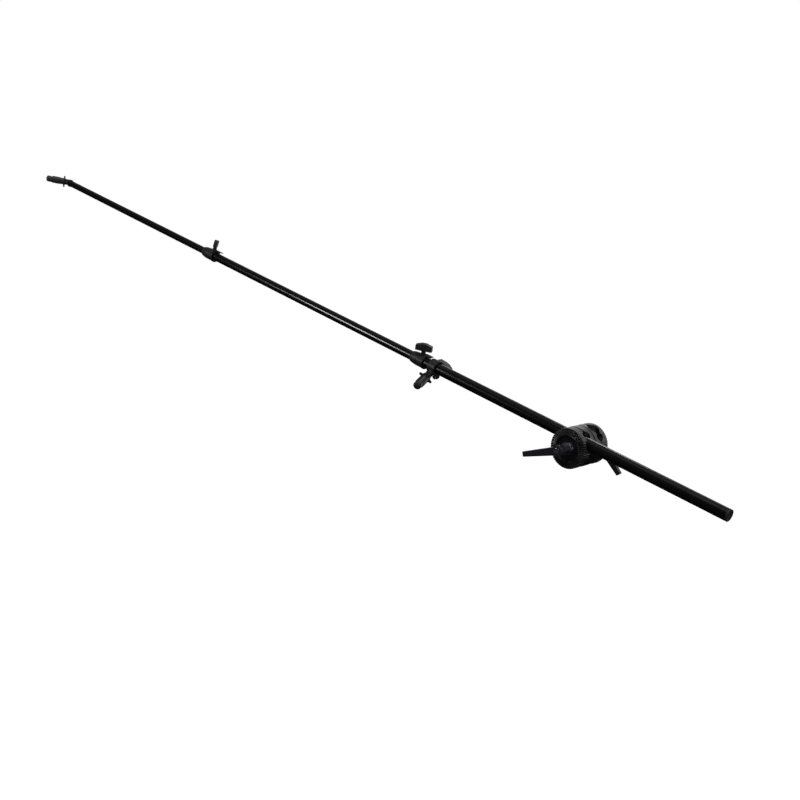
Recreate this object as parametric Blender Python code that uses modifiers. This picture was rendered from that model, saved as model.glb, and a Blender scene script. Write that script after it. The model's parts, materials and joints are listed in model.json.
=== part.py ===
"""Telescopic boom that holds a round collapsible reflector beside a light stand.

A double grip head clamps the boom to the stand: its rear pair of grooved discs holds the stand's
stud, its front pair holds the thickest of three tubes. A rim clip sits at the tip, a second one on
a saddle that slides along the thick tube. Everything is in metres. The origin is on the stand
stud's axis at the height of the head's centre bolt, +Z is up, the bolt runs along Y with the boom
on the -Y side, and the tip of the boom rises towards -X.
"""
import math
from dataclasses import dataclass

import bmesh
import bpy
from mathutils import Matrix, Vector

# General clearances and facet counts
GAP = 0.0003
OVERCUT = 0.004
COARSE = 12
ROUND = 20
FINE = 28
JAW_SIDES = 48

# Boom tubes
BOOM_RISE = math.radians(16.0)
TUBE_WALL = 0.0008
BASE_RADIUS = 0.0095
MIDDLE_RADIUS = 0.0082
TIP_RADIUS = 0.0070
BUTT_BEHIND_HEAD = 0.266
BASE_COLLAR_AHEAD = 0.3230
MIDDLE_COLLAR_AHEAD = 0.9263
TIP_MOUTH_AHEAD = 1.4970
TUBE_OVERLAP = 0.049
PLUG_LENGTH = 0.012
PLUG_FLANGE = 0.003

# Lock collars and their screws
COLLAR_LIP_RISE = 0.0007
COLLAR_LIP_LENGTH = 0.0025
COLLAR_MOUTH = 0.0160
COLLAR_SCREW = 0.0090
COLLAR_TAPER = 0.0140
BASE_COLLAR_LENGTH = 0.0315
BASE_COLLAR_WALL = 0.0021
BASE_NOSE_WALL = 0.0016
BASE_COLLAR_ROLL = math.radians(-7.5)
MIDDLE_COLLAR_LENGTH = 0.0365
MIDDLE_COLLAR_WALL = 0.0031
MIDDLE_NOSE_WALL = 0.0022
MIDDLE_COLLAR_ROLL = math.radians(9.0)
BOSS_RADIUS = 0.0055
BOSS_RISE = 0.0015
TONGUE_WIDTH = 0.0070
TONGUE_THICKNESS = 0.0016
TONGUE_ROOT = 0.0030
BASE_TONGUE_RISE = 0.0035
BASE_TONGUE_BEHIND = 0.0125
MIDDLE_TONGUE_RISE = 0.0018
MIDDLE_TONGUE_BEHIND = 0.0165
LOCK_SCREW_RADIUS = 0.0025
SHOE_RADIUS = 0.0030
SHOE_DEPTH = 0.0026
SHOE_TRAVEL = 0.0008
KNOB_STEM_RADIUS = 0.0040
KNOB_STEM_LENGTH = 0.0056
KNOB_HALF_LENGTH = 0.0147
KNOB_MIDDLE_WIDTH = 0.0092
KNOB_END_WIDTH = 0.0078
KNOB_END_HEIGHT = 0.0094
KNOB_CROWN = 0.0033
KNOB_CROWN_HALF = 0.0045
KNOB_SCREW_DEPTH = 0.0045
BASE_KNOB_TURN = math.radians(29.5)
MIDDLE_KNOB_TURN = math.radians(-44.0)
SADDLE_KNOB_TURN = math.radians(-15.0)

# Grip head
STUD_RADIUS = 0.0050
STUD_FLANGE_RADIUS = 0.0080
STUD_FLANGE = 0.0020
STUD_BEYOND_SPLIT = 0.0300
JAW_RADIUS = 0.03175
OUTER_JAW_DEPTH = 0.0185
INNER_JAW_DEPTH = 0.0148
JAW_CHAMFER = 0.0012
GROOVE_RELIEF = 0.0013
GROOVE_CHORD = 0.0160
HALF_INCH_RADIUS = 0.00635
THREE_EIGHTHS_RADIUS = 0.00475
QUARTER_INCH_RADIUS = 0.0032
TOOTH_COUNT = 48
TOOTH_DEPTH = 0.0006
KNURL_DEPTH = 0.0003
TOOTH_RING_INNER = 0.0215
TOOTH_RING_DROP = 0.0022
DISH_RADIUS = 0.0200
DISH_DEPTH = 0.0028
JAW_HUB_RADIUS = 0.0100
JAW_HUB_DROP = 0.0008
FRICTION_WASHER_RADIUS = 0.0220
FRICTION_WASHER = 0.0016

# Ratchet levers
LEVER_WASHER_RADIUS = 0.0095
LEVER_WASHER = 0.0012
SLEEVE_RADIUS = 0.0075
SLEEVE_TOP = 0.0318
SLEEVE_RING_COUNT = 3
SLEEVE_RING_DEPTH = 0.0008
SPLINE_RADIUS = 0.0055
SPLINE_TOP = 0.0368
LEVER_WEB = 0.0015
LEVER_HUB_RADIUS = 0.0092
LEVER_HUB_TOP = 0.0440
LEVER_POCKET_RADIUS = 0.0052
LEVER_SCREW_RADIUS = 0.0022
LEVER_SCREW_HEAD = 0.0016
LEVER_SCREW_HEAD_RADIUS = 0.0046
LEVER_ARM_LENGTH = 0.0600
LEVER_ARM_ROOT = (0.0138, 0.0080)
LEVER_ARM_END = (0.0084, 0.0060)
LEVER_ARM_RISE = 0.0100
LIFT_SPRING_WIRE = 0.00035
LIFT_SPRING_TURNS = 2.5
FRONT_LEVER_DROP = math.radians(11.5)
REAR_LEVER_DROP = math.radians(57.0)

# Saddle
SADDLE_BEHIND_COLLAR = 0.0215
SADDLE_WIDTH = 0.0160
SADDLE_RADIUS = 0.0130
SADDLE_SPLIT_LEAN = math.radians(22.0)
SADDLE_SLIT = 0.0012
SADDLE_LUG_HEIGHT = 0.0215
SADDLE_LUG_WIDTH = 0.0090
SADDLE_LUG_SHIFT = -0.0010
SADDLE_LUG_THICKNESS = 0.0030
SADDLE_BOLT_AT = 0.0178
SADDLE_BOLT_RADIUS = 0.0020
SADDLE_BOLT_HEAD_RADIUS = 0.0036
SADDLE_BOLT_HEAD = 0.0020
SADDLE_NUT_RADIUS = 0.0038
SADDLE_NUT = 0.0022
SADDLE_LEG_ANGLE = math.radians(227.0)
SADDLE_LEG_RADIUS = 0.0062
SADDLE_LEG_REACH = 0.0140
SADDLE_CLIP_ALONG = 0.804
SADDLE_CLIP_BEND = math.radians(41.0)

# Rim clips
TIP_CLIP_BEND = math.radians(46.0)
SOCKET_LIP = 0.0042
SOCKET_LIP_RISE = 0.0016
SOCKET_SLOPE = 0.0018
SOCKET_SLOPE_HEIGHT = 0.0030
SOCKET_LENGTH = 0.0180
SPIGOT_RADIUS = 0.0030
SPIGOT_LENGTH = 0.0024
SPIGOT_TAIL_RADIUS = 0.0020
RETAINER_RADIUS = 0.0046
RETAINER = 0.0009
KNUCKLE_RADIUS = 0.0067
KNUCKLE_DISC = 0.0018
PIVOT_REACH = 0.0065
TONGUE_HALF = 0.0030
CLEVIS_RADIUS = 0.0043
CLEVIS_HALF = 0.0060
CLEVIS_SLOT_DEPTH = 0.0050
PIN_RADIUS = 0.0021
PIN_HALF = 0.0066
FLANGE_START = 0.0076
FLANGE_THICKNESS = 0.0034
FLANGE_RADIUS = 0.0085
EAR_HALF_SPAN = 0.0130
EAR_ROOT_HALF_WIDTH = 0.0040
EAR_TIP_HALF_WIDTH = 0.0016
BARREL_RADIUS = 0.0080
BARREL_WAIST_RADIUS = 0.0070
BARREL_WAIST = 0.0050
BARREL_WALL = 0.0012
BARREL_TOP = 0.0365
BARREL_END_WALL = 0.0035
BASE_SPIGOT = 0.0030
PLUNGER_RADIUS = 0.0035
PLUNGER_TRAVEL = 0.0060
PLUNGER_TAIL_RADIUS = 0.0020
PLUNGER_HEAD_AT = 0.0150
PLUNGER_HEAD = 0.0020
PLUNGER_HEAD_RADIUS = 0.0060
CLIP_SPRING_WIRE = 0.0005
CLIP_SPRING_TURNS = 6.5
HOOK_RADIUS = 0.0070
HOOK_DOME = 0.0042
HOOK_FLAT = 0.0015
HOOK_THROAT = 0.0050
HOOK_CAP = 0.0090


@dataclass
class Frame:
    """A place on the holder: an empty with its matrix in the world."""

    empty: bpy.types.Object
    world: Matrix


def clear_scene():
    """Removes what the scene holds."""
    for obj in list(bpy.data.objects):
        bpy.data.objects.remove(obj, do_unlink=True)


def new_collection(name):
    """Returns a collection linked to the scene."""
    group = bpy.data.collections.new(name)
    bpy.context.scene.collection.children.link(group)
    return group


def new_material(name, colour, roughness, metallic=0.0):
    """Returns a material whose Principled BSDF has the finish given."""
    material = bpy.data.materials.new(name)
    material.use_nodes = True
    shader = material.node_tree.nodes["Principled BSDF"]
    shader.inputs["Base Color"].default_value = (*colour, 1.0)
    shader.inputs["Roughness"].default_value = roughness
    shader.inputs["Metallic"].default_value = metallic
    material.diffuse_color = (*colour, 1.0)
    return material


def new_frame(name, parent, origin, x_axis, z_axis):
    """Returns a frame with its origin and axes given in the parent frame."""
    z_axis = Vector(z_axis).normalized()
    x_axis = Vector(x_axis)
    x_axis = (x_axis - x_axis.project(z_axis)).normalized()
    turn = Matrix((x_axis, z_axis.cross(x_axis), z_axis)).transposed().to_4x4()
    local = Matrix.Translation(origin) @ turn
    empty = bpy.data.objects.new(name, None)
    empty.empty_display_size = 0.01
    PARTS.objects.link(empty)
    if parent is None:
        world = local
    else:
        empty.parent = parent.empty
        world = parent.world @ local
    empty.matrix_local = local
    return Frame(empty, world)


def new_object(name, data):
    """Returns an object in the collection of helpers."""
    obj = bpy.data.objects.new(name, data)
    HELPERS.objects.link(obj)
    return obj


def evaluated_mesh(obj):
    """Returns the object's mesh with its modifiers applied."""
    bpy.context.view_layer.update()
    graph = bpy.context.evaluated_depsgraph_get()
    return bpy.data.meshes.new_from_object(obj.evaluated_get(graph))


def settle(obj):
    """Makes the object's modifiers part of its mesh."""
    mesh = evaluated_mesh(obj)
    obj.modifiers.clear()
    old = obj.data
    obj.data = mesh
    bpy.data.meshes.remove(old)
    return obj


def mesh_from_curve(obj):
    """Returns a closed mesh object made from a curve object."""
    mesh = evaluated_mesh(obj)
    name = obj.name
    bpy.data.objects.remove(obj)
    work = bmesh.new()
    work.from_mesh(mesh)
    bmesh.ops.remove_doubles(work, verts=work.verts, dist=1e-6)
    bmesh.ops.recalc_face_normals(work, faces=work.faces)
    work.to_mesh(mesh)
    work.free()
    return new_object(name, mesh)


def turned(name, profile, segments=ROUND, ring=False):
    """Turns a profile of (radius, height) points, given down its outer side, about Z."""
    edges = [(i, i + 1) for i in range(len(profile) - 1)]
    if ring:
        edges.append((len(profile) - 1, 0))
    mesh = bpy.data.meshes.new(name)
    mesh.from_pydata([(radius, 0.0, height) for radius, height in profile], edges, [])
    obj = new_object(name, mesh)
    screw = obj.modifiers.new("turn", "SCREW")
    screw.axis = "Z"
    screw.angle = math.tau
    screw.steps = segments
    screw.render_steps = segments
    screw.use_merge_vertices = True
    screw.merge_threshold = 0.00001
    return settle(obj)


def cylinder(name, radius, low, high, segments=ROUND, chamfer=0.0):
    """Returns a solid cylinder about Z, with its edges chamfered if asked."""
    profile = [(0.0, high), (radius - chamfer, high)]
    if chamfer:
        profile += [(radius, high - chamfer), (radius, low + chamfer)]
    profile += [(radius - chamfer, low), (0.0, low)]
    if not chamfer:
        profile = [(0.0, high), (radius, high), (radius, low), (0.0, low)]
    return turned(name, profile, segments)


def pipe(name, outer, inner, low, high, segments=FINE):
    """Returns a plain tube about Z."""
    profile = [(inner, high), (outer, high), (outer, low), (inner, low)]
    return turned(name, profile, segments, ring=True)


def prism(name, outline, low, high):
    """Returns a flat outline in X and Y, raised from low to high."""
    curve = bpy.data.curves.new(name, "CURVE")
    curve.dimensions = "2D"
    curve.fill_mode = "BOTH"
    curve.extrude = (high - low) / 2
    spline = curve.splines.new("POLY")
    spline.points.add(len(outline) - 1)
    for point, (x, y) in zip(spline.points, outline):
        point.co = (x, y, 0.0, 1.0)
    spline.use_cyclic_u = True
    obj = mesh_from_curve(new_object(name, curve))
    obj.data.transform(Matrix.Translation((0.0, 0.0, (low + high) / 2)))
    return obj


def box(name, low, high):
    """Returns a box between two corners."""
    low, high = Vector(low), Vector(high)
    mesh = bpy.data.meshes.new(name)
    work = bmesh.new()
    bmesh.ops.create_cube(work, size=1.0)
    work.to_mesh(mesh)
    work.free()
    size = Matrix.Diagonal((*(high - low), 1.0))
    mesh.transform(Matrix.Translation((low + high) / 2) @ size)
    return new_object(name, mesh)


def coil(name, radius, wire, low, high, turns):
    """Returns an open compression spring about Z as one unbroken tube."""
    points_per_turn = 8
    count = int(turns * points_per_turn)
    points = []
    for i in range(count + 1):
        angle = math.tau * turns * i / count
        height = low + wire + (high - low - 2 * wire) * i / count
        points.append((radius * math.cos(angle), radius * math.sin(angle), height))
    curve = bpy.data.curves.new(name, "CURVE")
    curve.dimensions = "3D"
    curve.bevel_depth = wire
    curve.bevel_resolution = 0
    curve.use_fill_caps = True
    spline = curve.splines.new("POLY")
    spline.points.add(count)
    for point, place in zip(spline.points, points):
        point.co = (*place, 1.0)
    pitch = (high - low - 2 * wire) / turns
    print(f"{name}: gap between turns {(pitch - 2 * wire) * 1000:.2f} mm")
    return mesh_from_curve(new_object(name, curve))


def moved(obj, matrix):
    """Moves an object's mesh and returns the object."""
    obj.data.transform(matrix)
    return obj


def combine(obj, other, operation):
    """Applies a Boolean and keeps the other object as a hidden helper."""
    boolean = obj.modifiers.new(operation.lower(), "BOOLEAN")
    boolean.operation = operation
    boolean.solver = "EXACT"
    boolean.object = other
    settle(obj)
    other.parent = obj
    other.hide_render = True
    other.display_type = "WIRE"
    return obj


def cut(obj, *cutters):
    """Takes each cutter away from the object."""
    for cutter in cutters:
        combine(obj, cutter, "DIFFERENCE")
    return obj


def join(obj, *others):
    """Unites the object with the others."""
    for other in others:
        combine(obj, other, "UNION")
    return obj


def piece(name, obj, frame, material):
    """Names a finished solid and sets it in its frame."""
    HELPERS.objects.unlink(obj)
    PARTS.objects.link(obj)
    obj.name = name
    obj.data.name = name
    obj.data.materials.clear()
    obj.data.materials.append(material)
    obj.data.shade_smooth()
    obj.data.set_sharp_from_angle(angle=math.radians(35.0))
    obj.parent = frame.empty
    return obj


def about_x(angle):
    """Returns a turn about X."""
    return Matrix.Rotation(angle, 4, "X")


def about_y(angle):
    """Returns a turn about Y."""
    return Matrix.Rotation(angle, 4, "Y")


def about_z(angle):
    """Returns a turn about Z."""
    return Matrix.Rotation(angle, 4, "Z")


# Grip head


def groove_cutter(rod_radius, chord, quarter):
    """Returns a V groove's cutter for both jaws of a pair, a quarter turn per step."""
    widest = (rod_radius + GAP) * math.sqrt(2.0)
    deepest = rod_radius + GROOVE_RELIEF
    floor = widest - deepest
    outline = [(-floor, -deepest), (floor, -deepest), (widest, 0.0)]
    outline += [(floor, deepest), (-floor, deepest), (-widest, 0.0)]
    reach = JAW_RADIUS + OVERCUT
    groove = prism("groove", outline, -reach, reach)
    along_x = Matrix(((0, 0, 1, 0), (1, 0, 0, 0), (0, 1, 0, 0), (0, 0, 0, 1)))
    place = about_z(-quarter * math.pi / 2) @ Matrix.Translation((0.0, chord, 0.0))
    return moved(groove, place @ along_x)


def cut_grooves(jaw):
    """Cuts the four rod grooves of a jaw, the largest beside the bolt for the boom or stud."""
    cut(jaw, groove_cutter(BASE_RADIUS, JAW_CHORD, 0))
    small = (HALF_INCH_RADIUS, THREE_EIGHTHS_RADIUS, QUARTER_INCH_RADIUS)
    for quarter, rod_radius in enumerate(small, start=1):
        cut(jaw, groove_cutter(rod_radius, GROOVE_CHORD, quarter))
    return jaw


def serrate(jaw):
    """Lowers every second point of the toothed ring and of the rim."""
    step = math.pi / TOOTH_COUNT
    for vertex in jaw.data.vertices:
        x, y, z = vertex.co
        radius = math.hypot(x, y)
        slot = round(math.atan2(y, x) / step) % 2
        if not slot or radius < TOOTH_RING_INNER - GAP:
            continue
        if radius > JAW_RADIUS - GAP:
            scale = (JAW_RADIUS - KNURL_DEPTH) / radius
            vertex.co.x *= scale
            vertex.co.y *= scale
            if z > OUTER_JAW_DEPTH / 2:
                vertex.co.z -= TOOTH_DEPTH
        elif z > OUTER_JAW_DEPTH / 2:
            vertex.co.z -= TOOTH_DEPTH / 3
    return jaw


def outer_jaw(name, frame):
    """Makes an outer jaw: toothed bevelled ring, dished face, hub and rod grooves."""
    face = OUTER_JAW_DEPTH
    hub_top = face - JAW_HUB_DROP
    dish = face - DISH_DEPTH
    profile = [(DISH_RADIUS, face), (TOOTH_RING_INNER, face)]
    profile += [(JAW_RADIUS, face - TOOTH_RING_DROP), (JAW_RADIUS, JAW_CHAMFER)]
    profile += [(JAW_RADIUS - JAW_CHAMFER, GAP), (DISH_RADIUS, GAP)]
    jaw = serrate(turned(name, profile, 2 * TOOTH_COUNT, ring=True))
    overlap = DISH_RADIUS + GAP
    profile = [(BOLT_HOLE, hub_top), (JAW_HUB_RADIUS, hub_top), (JAW_HUB_RADIUS, dish)]
    profile += [(overlap, dish), (overlap, 2 * GAP), (BOLT_HOLE, 2 * GAP)]
    join(jaw, turned("dish", profile, ROUND + COARSE, ring=True))
    return piece(name, cut_grooves(jaw), frame, CAST_BLACK)


def inner_jaw(name, frame, flange_pocket):
    """Makes an inner jaw, whose back has the friction washer's recess."""
    back = -INNER_JAW_DEPTH + GAP / 2
    recess_floor = -INNER_JAW_DEPTH + FRICTION_WASHER / 2 + GAP
    recess = FRICTION_WASHER_RADIUS + GAP
    profile = [(BOLT_HOLE, -GAP), (JAW_RADIUS - JAW_CHAMFER, -GAP), (JAW_RADIUS, -JAW_CHAMFER)]
    profile += [(JAW_RADIUS, back + JAW_CHAMFER), (JAW_RADIUS - JAW_CHAMFER, back)]
    profile += [(recess, back), (recess, recess_floor)]
    if flange_pocket:
        pocket = STUD_FLANGE_RADIUS + GAP
        pocket_floor = recess_floor + STUD_FLANGE + 2 * GAP
        profile += [(pocket, recess_floor), (pocket, pocket_floor), (BOLT_HOLE, pocket_floor)]
    else:
        profile.append((BOLT_HOLE, recess_floor))
    jaw = turned(name, profile, JAW_SIDES, ring=True)
    return piece(name, cut_grooves(jaw), frame, CAST_BLACK)


def centre_stud(frame):
    """Makes the threaded stud that all four jaws sit on, with its flange and chamfered ends."""
    rear_end = STUD_BEYOND_SPLIT
    front_end = -2 * INNER_JAW_DEPTH - STUD_BEYOND_SPLIT
    flange_low = -INNER_JAW_DEPTH + FRICTION_WASHER / 2 + GAP
    flange_low += GAP / 2
    flange_high = flange_low + STUD_FLANGE
    chamfer = 0.0006
    profile = [(0.0, rear_end), (STUD_RADIUS - chamfer, rear_end), (STUD_RADIUS, rear_end - chamfer)]
    profile += [(STUD_RADIUS, flange_high), (STUD_FLANGE_RADIUS, flange_high)]
    profile += [(STUD_FLANGE_RADIUS, flange_low), (STUD_RADIUS, flange_low)]
    profile += [(STUD_RADIUS, front_end + chamfer), (STUD_RADIUS - chamfer, front_end)]
    profile.append((0.0, front_end))
    return piece("centre_stud", turned("stud", profile, COARSE), frame, STEEL)


def friction_washer(frame):
    """Makes the washer between the inner jaws, on which the head swivels."""
    low = -INNER_JAW_DEPTH - FRICTION_WASHER / 2
    washer = pipe("washer", FRICTION_WASHER_RADIUS, BOLT_HOLE, low, low + FRICTION_WASHER)
    return piece("friction_washer", washer, frame, FIBRE)


def tapered_arm(length, root, end, rise):
    """Returns a lever's arm along X, tapering from its root to its end."""
    arm = box("arm", (0.0, -0.5, -0.5), (length, 0.5, 0.5))
    for vertex in arm.data.vertices:
        far = vertex.co.x > length / 2
        width, height = end if far else root
        vertex.co.y *= width
        vertex.co.z = vertex.co.z * height + (rise if far else 0.0)
    bevel = arm.modifiers.new("edges", "BEVEL")
    bevel.width = 0.0016
    bevel.segments = 2
    return settle(arm)


def lever(name, frame):
    """Makes a ratchet lever: hub with spline bore and screw pocket, and its arm."""
    bottom = SLEEVE_TOP + GAP
    web_low = SPLINE_TOP + GAP
    web_high = web_low + LEVER_WEB
    hub = cylinder(name, LEVER_HUB_RADIUS, bottom, LEVER_HUB_TOP, ROUND, 0.0008)
    arm = tapered_arm(LEVER_ARM_LENGTH, LEVER_ARM_ROOT, LEVER_ARM_END, LEVER_ARM_RISE)
    arm_height = LEVER_HUB_TOP - LEVER_ARM_ROOT[1] / 2 - GAP
    arm_height -= LEVER_ARM_RISE * LEVER_HUB_RADIUS / LEVER_ARM_LENGTH
    join(hub, moved(arm, Matrix.Translation((0.0, 0.0, arm_height))))
    cut(hub, cylinder("spline_bore", SPLINE_RADIUS + GAP, bottom - OVERCUT, web_low, COARSE))
    cut(hub, cylinder("screw_hole", LEVER_SCREW_RADIUS + GAP, bottom, LEVER_HUB_TOP, COARSE))
    top = LEVER_HUB_TOP + OVERCUT
    cut(hub, cylinder("pocket", LEVER_POCKET_RADIUS, web_high, top, COARSE))
    return piece(name, hub, frame, CAST_BLACK)


def lever_insert(name, frame):
    """Makes the threaded sleeve that the lever turns: ringed outside, bored for the stud."""
    low = LEVER_SEAT + LEVER_WASHER + GAP
    bore = STUD_RADIUS + GAP
    bore_top = STUD_BEYOND_SPLIT + GAP
    hole = LEVER_SCREW_RADIUS + GAP
    profile = [(hole, SPLINE_TOP), (SPLINE_RADIUS, SPLINE_TOP), (SPLINE_RADIUS, SLEEVE_TOP)]
    pitch = (SLEEVE_TOP - low) / (2 * SLEEVE_RING_COUNT + 1)
    for i in range(SLEEVE_RING_COUNT):
        top = SLEEVE_TOP - 2 * i * pitch
        profile += [(SLEEVE_RADIUS, top), (SLEEVE_RADIUS, top - pitch)]
        groove = SLEEVE_RADIUS - SLEEVE_RING_DEPTH
        profile += [(groove, top - pitch), (groove, top - 2 * pitch)]
    profile += [(SLEEVE_RADIUS, low + pitch), (SLEEVE_RADIUS, low), (bore, low)]
    profile += [(bore, bore_top), (hole, bore_top)]
    return piece(name, turned(name, profile, COARSE, ring=True), frame, PLATED)


def lever_screw(name, frame):
    """Makes the screw that keeps the lever on its sleeve, with a cross recess in its head."""
    low = STUD_BEYOND_SPLIT + 4 * GAP
    profile = [(0.0, SCREW_HEAD_TOP), (LEVER_SCREW_HEAD_RADIUS - GAP, SCREW_HEAD_TOP)]
    profile += [(LEVER_SCREW_HEAD_RADIUS, SCREW_HEAD_TOP - GAP)]
    profile += [(LEVER_SCREW_HEAD_RADIUS, SCREW_HEAD_LOW), (LEVER_SCREW_RADIUS, SCREW_HEAD_LOW)]
    profile += [(LEVER_SCREW_RADIUS, low), (0.0, low)]
    screw = turned(name, profile, COARSE)
    half_length, half_width = 0.0024, 0.0005
    floor = SCREW_HEAD_TOP - LEVER_SCREW_HEAD / 2
    top = SCREW_HEAD_TOP + OVERCUT
    slot = box("slot", (-half_length, -half_width, floor), (half_length, half_width, top))
    cross = box("cross", (-half_width, -half_length, floor), (half_width, half_length, top))
    return piece(name, cut(screw, slot, cross), frame, PLATED)


def lift_spring(name, frame):
    """Makes the spring between the lever's web and its screw's head."""
    low = SPLINE_TOP + LEVER_WEB + 2 * GAP
    radius = (LEVER_SCREW_RADIUS + LEVER_POCKET_RADIUS) / 2
    spring = coil(name, radius, LIFT_SPRING_WIRE, low, SCREW_HEAD_LOW - GAP, LIFT_SPRING_TURNS)
    return piece(name, spring, frame, STEEL)


def lever_washer(name, frame):
    """Makes the plated washer under the sleeve."""
    washer = pipe(name, LEVER_WASHER_RADIUS, BOLT_HOLE, LEVER_SEAT, LEVER_SEAT + LEVER_WASHER, ROUND)
    return piece(name, washer, frame, PLATED)


def clamp_side(side, jaws, arm_direction):
    """Makes one end of the head: outer jaw, and the lever that clamps it."""
    outer = new_frame(f"{side}_outer_jaw_frame", jaws, (0, 0, 0), (1, 0, 0), (0, 0, 1))
    turn = new_frame(f"{side}_clamp_frame", outer, (0, 0, 0), arm_direction, (0, 0, 1))
    handle = new_frame(f"{side}_lever_frame", turn, (0, 0, 0), (1, 0, 0), (0, 0, 1))
    outer_jaw(f"{side}_outer_jaw", outer)
    lever_washer(f"{side}_lever_washer", turn)
    lever_insert(f"{side}_lever_insert", turn)
    lever_screw(f"{side}_lever_screw", turn)
    lift_spring(f"{side}_lever_spring", turn)
    lever(f"{side}_lever", handle)


# Boom


def boom_tube(name, frame, radius, low, high, shoe_at=None, roll=0.0):
    """Makes a tube, with a hole for the lock's shoe where it has one."""
    tube = pipe(name, radius, radius - TUBE_WALL, low, high)
    if shoe_at is not None:
        hole = cylinder("shoe_hole", SHOE_RADIUS + GAP, 0.0, radius + OVERCUT, COARSE)
        place = Matrix.Translation((0.0, 0.0, shoe_at)) @ about_z(roll) @ about_y(math.pi / 2)
        cut(tube, moved(hole, place))
    return piece(name, tube, frame, SATIN_BLACK)


def guide_plug(name, frame, bore, outer_bore):
    """Makes the plug that centres a tube's hidden end in the tube around it."""
    flange = outer_bore - GAP
    spigot = bore - GAP
    hollow = spigot - 0.0016
    top = PLUG_LENGTH
    profile = [(hollow, top), (spigot, top), (spigot, -GAP), (flange, -GAP)]
    profile += [(flange, -PLUG_FLANGE), (hollow, -PLUG_FLANGE)]
    return piece(name, turned(name, profile, ROUND, ring=True), frame, PLASTIC)


def end_plug(name, frame, radius, bore, at):
    """Makes the cap in the butt end of the thick tube."""
    chamfer = 0.0008
    spigot = bore - GAP
    profile = [(0.0, at + PLUG_LENGTH), (spigot, at + PLUG_LENGTH), (spigot, at - GAP)]
    profile += [(radius, at - GAP), (radius, at - PLUG_FLANGE + chamfer)]
    profile += [(radius - chamfer, at - PLUG_FLANGE), (0.0, at - PLUG_FLANGE)]
    return piece(name, turned(name, profile, ROUND), frame, PLASTIC)


@dataclass
class Collar:
    """One lock collar: the tubes outside and inside it, its walls, roll and tongue."""

    outer_radius: float
    inner_radius: float
    length: float
    wall: float
    nose_wall: float
    roll: float
    tongue_rise: float
    tongue_behind: float

    @property
    def body(self):
        """The radius of the collar's body."""
        return self.outer_radius + self.wall

    @property
    def seat(self):
        """How far out the boss for the lock's screw reaches."""
        return self.body + BOSS_RISE

    @property
    def x_axis(self):
        """The direction of the screw about the boom."""
        return (math.cos(self.roll), math.sin(self.roll), 0.0)


def lock_collar(name, frame, size):
    """Makes a collar at a tube's mouth: lip, body, tapered nose, raised tongue and screw boss."""
    body = size.body
    lip = body + COLLAR_LIP_RISE
    nose = size.inner_radius + size.nose_wall
    taper = size.length - COLLAR_TAPER
    bore = size.outer_radius + GAP
    nose_bore = size.inner_radius + GAP
    shoulder = COLLAR_MOUTH + GAP
    profile = [(nose_bore, size.length), (nose, size.length), (body, taper), (body, 2 * COLLAR_LIP_LENGTH)]
    profile += [(lip, COLLAR_LIP_LENGTH), (lip, 0.0), (bore, 0.0)]
    profile += [(bore, shoulder), (nose_bore, shoulder)]
    collar = turned(name, profile, FINE, ring=True)
    upright = Matrix.Translation((0.0, 0.0, COLLAR_SCREW)) @ about_y(math.pi / 2)
    half = TONGUE_WIDTH / 2
    top = body + size.tongue_rise
    root = box("tongue_root", (bore + GAP, -half, GAP), (top - GAP, half, TONGUE_ROOT - GAP))
    tongue = box("tongue", (top - TONGUE_THICKNESS, -half, -size.tongue_behind), (top, half, TONGUE_ROOT))
    boss = cylinder("boss", BOSS_RADIUS, bore + GAP, size.seat, COARSE)
    join(collar, root, tongue, moved(boss, upright))
    cut_lock_holes(collar, size.seat, upright)
    return piece(name, collar, frame, PLASTIC)


def stepped_cutter(narrow, wide, step, top):
    """Returns a cutter about Z from the axis of a tube: wide up to the step, narrow above it."""
    profile = [(0.0, top), (narrow, top), (narrow, step), (wide, step), (wide, 0.0), (0.0, 0.0)]
    return turned("stepped_cutter", profile, COARSE)


def cut_lock_holes(obj, seat, upright):
    """Cuts a lock's screw hole and the wider way of its shoe."""
    roof = seat - SHOE_DEPTH + SHOE_TRAVEL + GAP
    top = seat + OVERCUT
    holes = stepped_cutter(LOCK_SCREW_RADIUS + GAP, SHOE_RADIUS + GAP, roof, top)
    cut(obj, moved(holes, upright))


def lock_knob(name, frame):
    """Makes a T-shaped knob: a crowned bar with tapered ends on a round stem."""
    half = KNOB_HALF_LENGTH
    middle = KNOB_MIDDLE_WIDTH / 2
    end = KNOB_END_WIDTH / 2
    low = GAP + KNOB_STEM_LENGTH
    side = low + KNOB_END_HEIGHT
    crown = side + KNOB_CROWN
    shoulder = KNOB_STEM_RADIUS
    plan = [(-half, -end), (-shoulder, -middle), (shoulder, -middle), (half, -end)]
    plan += [(half, end), (shoulder, middle), (-shoulder, middle), (-half, end)]
    bar = prism(name, plan, low - OVERCUT, crown + OVERCUT)
    wide = half + OVERCUT
    slope = KNOB_CROWN / (half - KNOB_CROWN_HALF)
    far = crown - slope * (wide - KNOB_CROWN_HALF)
    face = [(-wide, low), (wide, low), (wide, far), (KNOB_CROWN_HALF, crown)]
    face += [(-KNOB_CROWN_HALF, crown), (-wide, far)]
    outline = prism("crown", face, -middle - OVERCUT, middle + OVERCUT)
    combine(bar, moved(outline, about_x(math.pi / 2)), "INTERSECT")
    join(bar, cylinder("stem", KNOB_STEM_RADIUS, GAP, low + KNOB_CROWN, COARSE))
    top = low + KNOB_SCREW_DEPTH + GAP
    cut(bar, cylinder("screw_way", LOCK_SCREW_RADIUS + GAP, -OVERCUT, top, COARSE))
    return piece(name, bar, frame, PLASTIC)


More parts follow.
